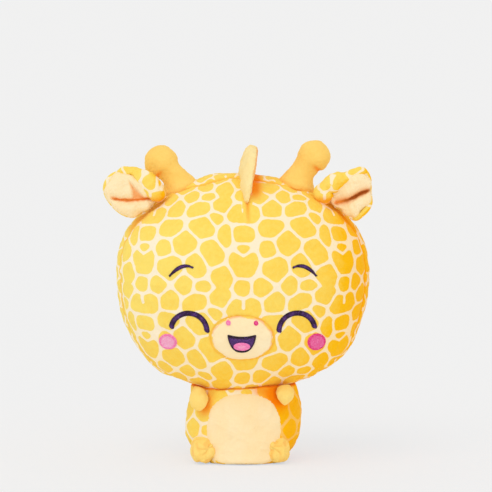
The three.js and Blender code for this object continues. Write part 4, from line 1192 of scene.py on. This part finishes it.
def buildFoot(side, sign):
    own, wide = feet[side], feet[side]["halfWidth"]
    directions, faces = quadBall(feet["quads"])
    centre = np.array([sign * own["spread"], -feet["forward"], feet["height"]])
    half = np.array([wide, feet["halfLength"], feet["halfHeight"]]) - feet["inset"]
    boxy = (np.abs(directions) ** feet["power"]).sum(axis=1) ** (-1 / feet["power"])
    shape = directions * boxy[:, None] * half
    points = stuffed(shape + centre, faces, shape[:, 1] > 5, feet["cap"], pressure=3)
    points, faces = refined(points, faces, 2)
    offset = points - centre - np.array([-sign * feet["tackInward"], -feet["halfLength"], feet["tackHeight"]])
    angle, near = np.arctan2(offset[:, 2], offset[:, 0]), np.linalg.norm(offset, axis=1)
    creases = np.abs(np.sin(angle * 2 + 0.6 * sign + 0.9 * np.sin(angle * 2 + sign) + near * 0.16)) ** 0.6
    gathers = lumps(points * np.array([1.0, 1.0, 0.45]), 5.5, own["gatherSeed"])
    move = unevenness(points, own["lumps"]) + feet["gatherHeight"] * gathers
    move -= feet["creaseDepth"] * (1 - creases) * hill(near - 4, 5.5) + feet["tackDepth"] * hill(near, 2.6)
    points = points + vertexNormals(points, faces) * move[:, None]
    points[:, 2] = np.maximum(points[:, 2], feet["floor"])
    foot = makePiece(f"foot_{side}_nub", points, faces, materials["limb"])
    inner = ramp((centre[0] - points[:, 0]) * sign, wide * 0.72, wide * 0.98)
    shade = 0.4 * (1 - creases) ** 2 * hill(near - 3.5, 4) + 0.22 * ramp(-gathers, 0.2, 1.6) + 0.55 * inner
    paint(foot, seam=np.clip(shade, 0, 1))
    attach(foot, "torso")
    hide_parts(f"foot_{side}")


def buildArm(side, sign):
    own = arms[side]
    root = np.array([sign * own["spread"], -arms["forward"], own["height"]])
    tip, lean = math.radians(own["restDegrees"]), math.radians(arms["splay"])
    down = np.array([sign * math.sin(lean) * math.cos(tip), -math.sin(tip), -math.cos(tip) * math.cos(lean)])
    down = unit(down)
    path = root + np.array(arms["shares"])[:, None] * arms["length"] * 1.02 * down
    points, faces = tube(path, arms["radii"], arms["around"], own["seed"])
    across = np.array([1.0, 0, 0])
    under = np.cross(down, across)
    under = under * (1 if under[2] < 0 else -1)
    local = points - root
    hang = local @ under
    points = points - across * (local @ across * own["pinch"] * ramp(hang, -1, 7))[:, None]
    points = points + under * (np.maximum(hang, 0) * own["hang"])[:, None]
    # the head may tip without pressing on the arm
    above = points[:, 2] - headUnder(points[:, 0], points[:, 1]) + arms["clearance"]
    points[:, 2] -= 0.94 * np.maximum(above, 0)
    arm = makePiece(f"arm_{side}_nub", points, faces, materials["limb"])
    # painted shade where the arm meets the body
    paint(arm, seam=0.5 * ramp(np.linalg.norm(points - root, axis=1), 6.5, 3.0))
    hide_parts(f"arm_{side}")
    start, end = (root * mm).tolist(), ((root + down * 5) * mm).tolist()
    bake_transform(arm)


for side, sign in sides:
    buildFoot(side, sign)
for side, sign in sides:
    buildArm(side, sign)
print("feet and arms filled")

# Tail: a stuffed cord that ends in a tuft; shares are of the tuft's length
tail = {
    "height": 34, "back": 33, "slope": 38, "length": 33, "tuft": 17, "overlap": 1.5,
    "cordRadii": (3.4, 3.6, 3.1, 2.8, 2.7, 1.6), "tuftShares": (0, 0.05, 0.2, 0.45, 0.7, 0.9, 0.98, 1.0),
    "tuftRadii": (2.2, 3.4, 5.4, 6.2, 4.8, 2.2, 0.9, 0.1),
}


def tailAxis():  # where it starts, and the way that it hangs
    slope = math.radians(tail["slope"])
    return np.array([0, tail["back"], tail["height"]]), np.array([0, math.sin(slope), -math.cos(slope)])


def buildTailCord():
    root, down = tailAxis()
    end = tail["length"] - tail["tuft"] + tail["overlap"]
    path = root + np.array([-2.5, 0, 4, end * 0.6, end - 1, end])[:, None] * down
    points, faces = tube(path, tail["cordRadii"], 28, 71, 0.08)
    cord = makePiece("tail_cord_cover", points, faces, materials["print"])
    spots = spotDepth(np.arctan2(points[:, 0], points[:, 1] - root[1]) * 4, (points - root) @ down)
    # painted shade held at one middle tone over the whole cord
    paint(cord, spot=spots, seam=np.zeros(len(points)), warm=np.full(len(points), 0.5))
    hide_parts("tail_cord")
    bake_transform(cord)


def buildTailTuft():
    root, down = tailAxis()
    start = tail["length"] - tail["tuft"]
    path = root + (start + tail["tuft"] * np.array(tail["tuftShares"]))[:, None] * down
    points, faces = tube(path, tail["tuftRadii"], 48, 72, 0.1)
    local = points - root
    along = local @ down
    angle = np.arctan2(local[:, 0], local @ np.cross(down, [1.0, 0, 0]))
    locks = 0.10 * np.sin(angle * 9 + along * 0.25) + 0.06 * np.sin(angle * 17 - along * 0.4)
    locks = locks * ramp(along, start + 2, start + tail["tuft"] * 0.6)
    points = points + (local - along[:, None] * down) * locks[:, None]
    tuft = makePiece("tail_tuft_pile", points, faces, materials["mane"])
    # painted shade in the grooves between the locks
    paint(tuft, seam=np.clip(-locks * 3, 0, 0.4))
    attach(tuft, "tail_body")
    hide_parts("tail_tuft")


buildTailCord()
buildTailTuft()

# Neck: the closing gathers between head and body
neck = {
    "heights": (47.9, 48.2, 49.4, 50.8, 51.4), "radii": (10.0, 16.6, 18.4, 17.2, 12.0), "rows": 17,
    "around": 120, "pleats": 20, "pleatDepth": 0.022,
}


def ringAt(height, halfWidth, halfDepth, angles):
    x, y = halfWidth * np.cos(angles), halfDepth * np.sin(angles)
    return np.stack([x, y, np.full(len(angles), height)], axis=1)


def buildNeck():
    angles = np.arange(neck["around"]) * 2 * math.pi / neck["around"]
    last, rings = len(neck["radii"]) - 1, []
    for spot in np.linspace(0, last, neck["rows"]):
        radius, height = (np.interp(spot, np.arange(last + 1), neck[key]) for key in ("radii", "heights"))
        pleat = 1 + neck["pleatDepth"] * np.sin(angles * neck["pleats"]) * math.sin(math.pi * spot / last)
        rings.append(ringAt(height, radius * pleat, radius * pleat, angles))
    points, faces = loftSkin(rings)
    gather = makePiece("neck_gathers", points, faces, materials["print"])
    # painted shade: the gathers lie in the crevice between head and body, so they are all spot colour,
    # deepened and turned orange
    bare = np.full(len(points), giraffeSpots["bare"])
    paint(gather, spot=bare, seam=np.full(len(points), 0.5), warm=np.ones(len(points)))
    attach(gather, "neck_ring")
    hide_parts("neck_filling", "neck_thread_ring")


buildNeck()


# Base: the flat oval under the body, as wide as its panel in the frame
def buildBase():
    low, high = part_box("base_panel")
    halfWidth, halfDepth, top = (high.x - low.x) / 2 / mm, (high.y - low.y) / 2 / mm, high.z / mm
    angles = np.arange(96) * 2 * math.pi / 96
    edge = ((0.9, 0.0), (0.97, 0.05), (1.0, 0.5), (1.0, top - 0.4), (0.97, top))
    rings = [ringAt(height, halfWidth * share, halfDepth * share, angles) for share, height in edge]
    points, faces = loftSkin(rings)
    base = makePiece("base_cloth", points, faces, materials["tummy"])
    paint(base, seam=np.zeros(len(points)))
    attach(base, "torso")
    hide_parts("base_panel")


buildBase()
print("tail, neck and base made")

# Horns: a flared foot, a waist and a round knob, bent outward
horns = {
    "setback": 2, "footRadius": 13.8, "waistRadius": 8.7, "knobRadius": 12.3, "knobReach": 23.8, "bend": 18,
    "sunk": ((-4.5, 0.98), (-2.2, 1.0)), "neckShares": (0, 0.12, 0.28, 0.45, 0.62, 0.8), "flare": 1.9,
    "knobRows": 12, "around": 28, "pinnedRows": 5, "cap": 0.7, "seamDepth": 0.35,
    "left": {"spread": 40.5, "crease": 1.2, "lumps": ((0.25, 12, 82), (0.08, 3.4, 83))},
    "right": {"spread": 47.6, "crease": 0.7, "lumps": ((0.25, 12, 80), (0.08, 3.4, 83))},
}


def hornStations():  # distances along the horn with its radius there, and where the knob starts
    knob, waist, foot = horns["knobRadius"], horns["waistRadius"], horns["footRadius"]
    reach = horns["knobReach"]
    knobStart = reach - math.sqrt(knob ** 2 - waist ** 2)
    stations = [(along, foot * share) for along, share in horns["sunk"]]
    for share in horns["neckShares"]:
        stations.append((knobStart * share, waist + (foot - waist) * (1 - share) ** horns["flare"]))
    first, last = math.asin(waist / knob) + 0.1, math.pi * 0.985
    for step in range(horns["knobRows"] + 1):
        angle = first + (last - first) * step / horns["knobRows"]
        stations.append((reach - knob * math.cos(angle), knob * math.sin(angle)))
    return stations, knobStart


def hornRings(sign, root, up, across, deep):
    stations, knobStart = hornStations()
    centre, before, rings = np.zeros(3), 0.0, []
    angles = np.arange(horns["around"]) * 2 * math.pi / horns["around"]
    for along, radius in stations:
        turn = sign * math.radians(horns["bend"]) * ramp(along, 0, knobStart)
        forward = math.sin(turn) * across + math.cos(turn) * up
        centre = centre + forward * (along - before)
        before = along
        inside = np.clip(-sign * np.cos(angles), 0, 1) * hill(along - knobStart * 0.95, 4.5) * 0.5
        wide, tall = np.cos(angles)[:, None] * np.cross(deep, forward), np.sin(angles)[:, None] * deep
        rings.append(root + centre + (radius + inside)[:, None] * (wide + tall))
    return rings, knobStart


def buildHorn(side, sign):
    own = horns[side]
    spread, setback = own["spread"], horns["setback"]
    local = np.array([sign * spread, setback, headRise(spread, setback, "top")])
    root, up = local + np.array(headShape["centre"]), headNormals(local[None])[0]
    across = unit(np.cross([0, 1.0, 0], up))
    deep = np.cross(up, across)
    rings, knobStart = hornRings(sign, root, up, across, deep)
    points, faces = loftSkin(rings)
    pinned = np.zeros(len(points), bool)
    pinned[:horns["around"] * horns["pinnedRows"]] = True
    pinned[-2] = True  # the middle of the foot's end
    points = stuffed(points, faces, pinned, horns["cap"], pressure=3)
    points, faces = refined(points, faces, 2)
    offset = points - root
    height, outer = offset @ up, offset @ across * sign
    # the cloth creases where the knob leans over the waist on its outer side
    crease = hill(height - (knobStart + 3.4 - 0.35 * outer), 1.6) * ramp(outer, 5, 11)
    sewn = hill(offset @ deep, 0.8) * ramp(height, 1, 3) * ramp(-outer, 0, 6)
    move = unevenness(points, own["lumps"]) - own["crease"] * crease - horns["seamDepth"] * sewn
    points = points + vertexNormals(points, faces) * move[:, None]
    horn = makePiece(f"horn_{side}_plush", points, faces, materials["horn"])
    # painted shade in the crease under the knob, and at the foot where the horn meets the head
    paint(horn, seam=np.clip(0.7 * crease + 0.15 * ramp(height, 0.8, -1.5), 0, 0.9))
    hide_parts(f"horn_{side}")
    start, end = ((root + up * 0.5) * mm).tolist(), ((root + up * 9) * mm).tolist()
    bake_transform(horn)


for side, sign in sides:
    buildHorn(side, sign)
print("horns filled")

# Ears: two lips of lining meet in a deep crease, and the printed back rolls over the edge
ears = {  # places of outline, crease, fold and ridge are outward and up from the root, as seen from the front
    "root": (64.8, -12, 194.0), "puff": 6.8, "lip": 6.2, "rings": 40, "around": 176, "liningInset": 0.7,
    "backSink": -0.6, "liningSink": -0.9, "liningLow": 0.7, "tilt": (0.5, 0.12), "clothScale": 1.3,
    "wrinkles": 19, "wrinkleDepth": 0.35, "blendStart": 1.0, "blendEnd": 11.0,
    "left": {
        "forward": 10, "middle": (17.7, 6.4), "lumps": ((0.3, 9, 92), (0.1, 3, 92)),
        "outline": [(-0.5, 1.5), (0.5, 7.9), (6.5, 14.7), (15.5, 22), (21.5, 25.6), (27.5, 25),
                    (30.1, 20.8), (31, 13.2), (31.4, 5.7), (31.6, 0.2), (29.7, -4.3), (25, -9.4),
                    (19.2, -13), (14.5, -11.4), (7.6, -5.6), (1.4, -1.4)],
        "crease": [(-2, -0.6), (5, 0.6), (17, 4.2), (23, 7.4), (29.7, 10.2), (34, 11)],
        "creaseEnds": (3, 31.5), "creaseWidth": 1.7, "creaseDark": 0.85, "creaseFall": 1.3,
        "creaseReach": 3.0, "turnedEdge": [(-58, 34, 3.6), (62, 16, 2.0)],
        "roll": [(60.8, -14, 195.5), (60.0, -17, 201.5), (62.2, -18, 206.4), (67, -19, 209.8),
                 (72, -18, 212.4), (77.5, -17.5, 214.4), (83, -17.5, 217.2), (88.5, -18, 218.8),
                 (92.5, -17, 217)],
        "rollRadii": (4.2, 7.6, 5.8, 7.0, 5.8, 4.0, 3.6, 3.2, 1.0), "rollSeed": 96,
    },
    "right": {
        "forward": 4, "middle": (20, 7.2), "lumps": ((0.3, 9, 90), (0.1, 3, 92)),
        "outline": [(-1, 2.6), (0.5, 10.2), (6.5, 17.7), (14, 22.6), (21.5, 24.6), (29, 24.4), (35, 21.3),
                    (38.3, 17), (39.6, 10.2), (38.0, 4.9), (35.0, 0), (30.4, -5.2), (24.6, -9.2), (18, -10.9),
                    (11, -7.9), (3.5, -3.4)],
        "crease": [(-4, 4.6), (4, 3.6), (20, 2.4), (30, 3.2), (36, 4.6), (42, 6)],
        "creaseEnds": (1, 34.5), "creaseWidth": 0.8, "creaseDark": 0.04, "creaseFall": 1.0,
        "creaseReach": 2.4, "turnedEdge": [(30, 20, 2.2), (100, 30, 1.6)],
        "roll": [(-62.5, -13, 196.5), (-63.6, -16, 200.4), (-66.2, -17, 205.4), (-69.8, -17, 210),
                 (-75, -17, 214.4), (-81, -16, 217.8), (-87.8, -15, 218.8), (-94, -14, 217.6)],
        "rollRadii": (3.2, 6.2, 7.3, 7.0, 5.8, 3.6, 3.1, 1.1), "rollSeed": 94,
        "fold": [(20.9, 18), (18.2, 2.4), (5.5, 2.8)], "foldDepth": 3.0, "foldDark": 0.66,
        "ridge": ((19, 19), (6, 8)), "ridgeHeight": 1.4, "ridgeWidth": 2.6,
    },
}


# How far places lie inside a triangle, negative outside
def insideTriangle(x, z, corners):
    middle = np.mean(corners, axis=0)
    depth = np.full(len(x), 99.0)
    for (x0, z0), (x1, z1) in zip(corners, corners[1:] + corners[:1]):
        away = unit(np.array([z1 - z0, x0 - x1]))
        way = 1 if (middle - (x0, z0)) @ away > 0 else -1
        depth = np.minimum(depth, way * ((x - x0) * away[0] + (z - z0) * away[1]))
    return depth


# The leaf that one ear's cloths are cut and laid by
class EarLeaf:
    def __init__(self, side, sign):
        self.side, self.sign, self.own = side, sign, ears[side]
        self.root = np.array([sign * ears["root"][0], *ears["root"][1:]])
        self.turn = math.radians(self.own["forward"])
        self.middle = np.array(self.own["middle"])
        rim = np.array(self.own["outline"]) - self.middle
        angles = np.arctan2(rim[:, 1], rim[:, 0])
        order = np.argsort(angles)
        angles, reach = angles[order], np.linalg.norm(rim, axis=1)[order]
        self.rimAngles = np.concatenate([angles[-3:] - 2 * math.pi, angles, angles[:3] + 2 * math.pi])
        self.rimReach = np.concatenate([reach[-3:], reach, reach[:3]])[:, None]

    def turned(self, angle):  # how far the edge is turned over; its places are in degrees
        degrees = np.degrees(angle)
        return sum(amount * hill((degrees - at + 180) % 360 - 180, width)
                   for at, width, amount in self.own["turnedEdge"])

    def outline(self, angle, inset=0.0):
        angle = (angle + math.pi) % (2 * math.pi) - math.pi
        reach = smoothThrough(self.rimAngles, self.rimReach, angle)[:, 0] - inset
        reach = reach - (self.turned(angle) if inset else 0)
        return self.middle[0] + reach * np.cos(angle), self.middle[1] + reach * np.sin(angle)

    def place(self, x, z, lift):
        spot = np.stack([self.sign * x, -x * math.tan(self.turn), z], axis=1)
        sideways, upward = ears["tilt"]
        front = np.array([-self.sign * math.sin(self.turn) * sideways, -1.0, upward])
        return self.root + spot + front * lift[:, None]

    def pad(self, outline, top, sink):
        return facePad(outline, self.middle, ears["rings"], ears["around"], top, sink, self.place)

    def fromCrease(self, x, z):
        places, heights = np.array(self.own["crease"]).T
        return z - smoothThrough(places, heights[:, None], np.clip(x, places[0], places[-1] - 1e-3))[:, 0]

    def creaseOpen(self, x, before, after):  # 1 where the crease is open, 0 past its ends
        first, last = self.own["creaseEnds"]
        return ramp(x, first - before, first + 3) * ramp(x, last + after, last - 5)

    def liningTop(self, x, z, share):
        own, low = self.own, ears["liningLow"]
        closing = own["creaseFall"] * np.exp(-np.abs(self.fromCrease(x, z)) / own["creaseReach"])
        lips = np.maximum(1 - self.creaseOpen(x, 3, 1.5) * closing, 0.03)
        height = low + ears["lip"] * np.clip(1 - share ** 5, 0, 1) ** 0.5 * lips
        if "fold" in own:
            height -= own["foldDepth"] * ramp(insideTriangle(x, z, own["fold"]), -0.6, 3.0)
            fromRidge, _ = segmentDistance(np.stack([x, z], axis=1), *own["ridge"])
            height += own["ridgeHeight"] * hill(fromRidge, own["ridgeWidth"])
        return np.maximum(height, low)

    def unevenness(self, points, x, z, share):
        wrinkles = np.sin(np.arctan2(z - 1, x + 6) * ears["wrinkles"] + 1.4 * np.sin(x / 5)) * ramp(x, 20, 4)
        return unevenness(points, self.own["lumps"]) + ears["wrinkleDepth"] * wrinkles * ramp(share, 1, 0.8)

    def attach(self, piece):  # bakes the piece's placement into its mesh
        outward = np.array([self.sign, 0, 0])
        start, end = self.root + ears["blendStart"] * outward, self.root + ears["blendEnd"] * outward
        (start * mm).tolist()
        (end * mm).tolist()
        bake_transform(piece)


def buildEarBack(leaf):
    def flat(x, z, share):
        return np.full(len(x), -0.5)

    points, faces, x, z, share = leaf.pad(leaf.outline, flat, ears["backSink"])
    count = len(x)
    # the lower half of the pad becomes the rounded back, and its front edge rises where it is turned over
    points[count:] = leaf.place(x, z, -ears["puff"] * np.clip(1 - share ** 2.6, 0, 1) ** 0.5 - 0.8)
    edge = 0.5 + leaf.turned(np.arctan2(z - leaf.middle[1], x - leaf.middle[0])) * 1.1
    edge = edge * ramp(share, 0.6, 0.86) * np.clip(1 - ((share - 0.9) / 0.1).clip(0, 1) ** 2, 0, 1) ** 0.5
    points[:count] = leaf.place(x, z, -0.5 + edge)
    faces = outwardFaces(points, faces)
    normals = vertexNormals(points, faces)
    x, z, share = np.tile(x, 2), np.tile(z, 2), np.tile(share, 2)
    move = leaf.unevenness(points, x, z, share) * ramp(share, 1, 0.9)
    points = points + normals * move[:, None]
    piece = makePiece(f"ear_{leaf.side}_back_cloth", points, faces, materials["print"])
    spots = spotDepth(x * ears["clothScale"] + 12 * leaf.sign, z * ears["clothScale"] + 30)
    # the last attribute is painted shade: orange on the sides away from the window
    paint(piece, spot=spots, seam=np.zeros(len(points)), warm=warmth(normals))
    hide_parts(f"ear_{leaf.side}_outer")
    leaf.attach(piece)


def buildEarLining(leaf):
    def outline(angle):
        return leaf.outline(angle, ears["liningInset"])

    points, faces, x, z, share = leaf.pad(outline, leaf.liningTop, ears["liningSink"])
    faces = outwardFaces(points, faces)
    normals = vertexNormals(points, faces)
    onTop = np.arange(len(points)) < len(x)
    x, z, share = np.tile(x, 2), np.tile(z, 2), np.tile(share, 2)
    own, wide, apart = leaf.own, leaf.own["creaseWidth"], leaf.fromCrease(x, z)
    # painted shade along the crease, deepest down in it, and in the hollow of the fold
    creased = onTop * leaf.creaseOpen(x, 2, 1)
    dark = creased * (0.9 * hill(apart, wide) + 0.3 * hill(apart - wide, 1.8 * wide))
    deep = creased * own["creaseDark"] * hill(apart - 0.25, 0.8 * wide) * ramp(x, 4, 17)
    if "fold" in own:
        dark = dark + onTop * own["foldDark"] * ramp(insideTriangle(x, z, own["fold"]), -0.5, 3.0)
    points = points + normals * leaf.unevenness(points, x, z, share)[:, None]
    piece = makePiece(f"ear_{leaf.side}_lining_cloth", points, faces, materials["lining"])
    paint(piece, seam=np.clip(dark, 0, 0.95), deep=deep)
    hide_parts(f"ear_{leaf.side}_lining")
    leaf.attach(piece)


def buildEarRoll(leaf):
    points, faces = tube(leaf.own["roll"], leaf.own["rollRadii"], 44, leaf.own["rollSeed"], 0.15, 0.9)
    across, back, up = (points - leaf.root).T * 1.2
    roll = makePiece(f"ear_{leaf.side}_rolled_edge", points, faces, materials["print"])
    # painted shade on the roll's low end by the head, and orange on the sides away from the window
    paint(roll, spot=spotDepth(across + 5, up - back), seam=0.5 * ramp(points[:, 2], 202, 196),
          warm=warmth(vertexNormals(points, faces)))
    leaf.attach(roll)


for side, sign in sides:
    earLeaf = EarLeaf(side, sign)
    buildEarBack(earLeaf)
    buildEarLining(earLeaf)
    buildEarRoll(earLeaf)
print("ears folded")

# Mane: a fin of longer pile along the middle of the head, from front to back in degrees from straight up
mane = {
    "front": -37, "back": 57, "peak": -5, "height": 22.6, "half": 5.9, "frontHalf": 2.0, "lean": 11,
    "offset": (2.4, 2.0), "sink": 3.2, "rows": 90, "lumps": ((0.35, 12, 101), (0.16, 3.2, 102)),
    "rises": (-0.08, 0.06, 0.2, 0.36, 0.54, 0.72, 0.86, 0.95, 0.99, 1.0),
    "rightWidths": (0.6, 0.74, 0.9, 1.0, 1.0, 0.86, 0.66, 0.5, 0.3, 0.06),
    "leftWidths": (0.6, 0.72, 0.86, 0.95, 1.0, 0.98, 0.9, 0.76, 0.5, 0.06),
}


def maneRing(share, peak):
    slope = math.radians(mane["front"] + (mane["back"] - mane["front"]) * share)
    direction = np.array([[0, math.sin(slope), math.cos(slope)]])
    foot = direction * formReach(headShape, direction)[:, None]
    outward = unit(headNormals(foot)[0] + np.array([math.tan(math.radians(mane["lean"])), 0, 0]))
    climb = math.sin(math.pi / 2 * (share / peak if share < peak else (1 - share) / (1 - peak)))
    height = mane["height"] * (0.08 + 0.92 * climb ** 0.7)
    half = mane["frontHalf"] + (mane["half"] - mane["frontHalf"]) * climb ** 1.2
    across = half * np.concatenate([-np.array(mane["rightWidths"]), mane["leftWidths"][::-1]])
    ups = np.concatenate([mane["rises"], mane["rises"][::-1]])
    foot = foot[0] + np.array(headShape["centre"]) + (np.interp(share, (0, peak), mane["offset"]), 0, 0)
    return foot + across[:, None] * (1.0, 0, 0) + (ups * height - mane["sink"] * (1 - ups))[:, None] * outward


def buildMane():
    peak = (mane["peak"] - mane["front"]) / (mane["back"] - mane["front"])
    points, faces = loftSkin([maneRing(share, peak) for share in np.linspace(0, 1, mane["rows"])])
    points, faces = refined(points, faces, 1)
    normals = vertexNormals(points, faces)
    move = unevenness(points, mane["lumps"])
    fin = makePiece("mane_fin", points + normals * move[:, None], faces, materials["mane"])
    # painted shade on the fin's right side, deeper towards its top
    paint(fin, seam=0.5 * ramp(normals[:, 0], 0.6, 0.98) * ramp(points[:, 2], 204, 226))
    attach(fin, "head")
    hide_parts("mane")


buildMane()
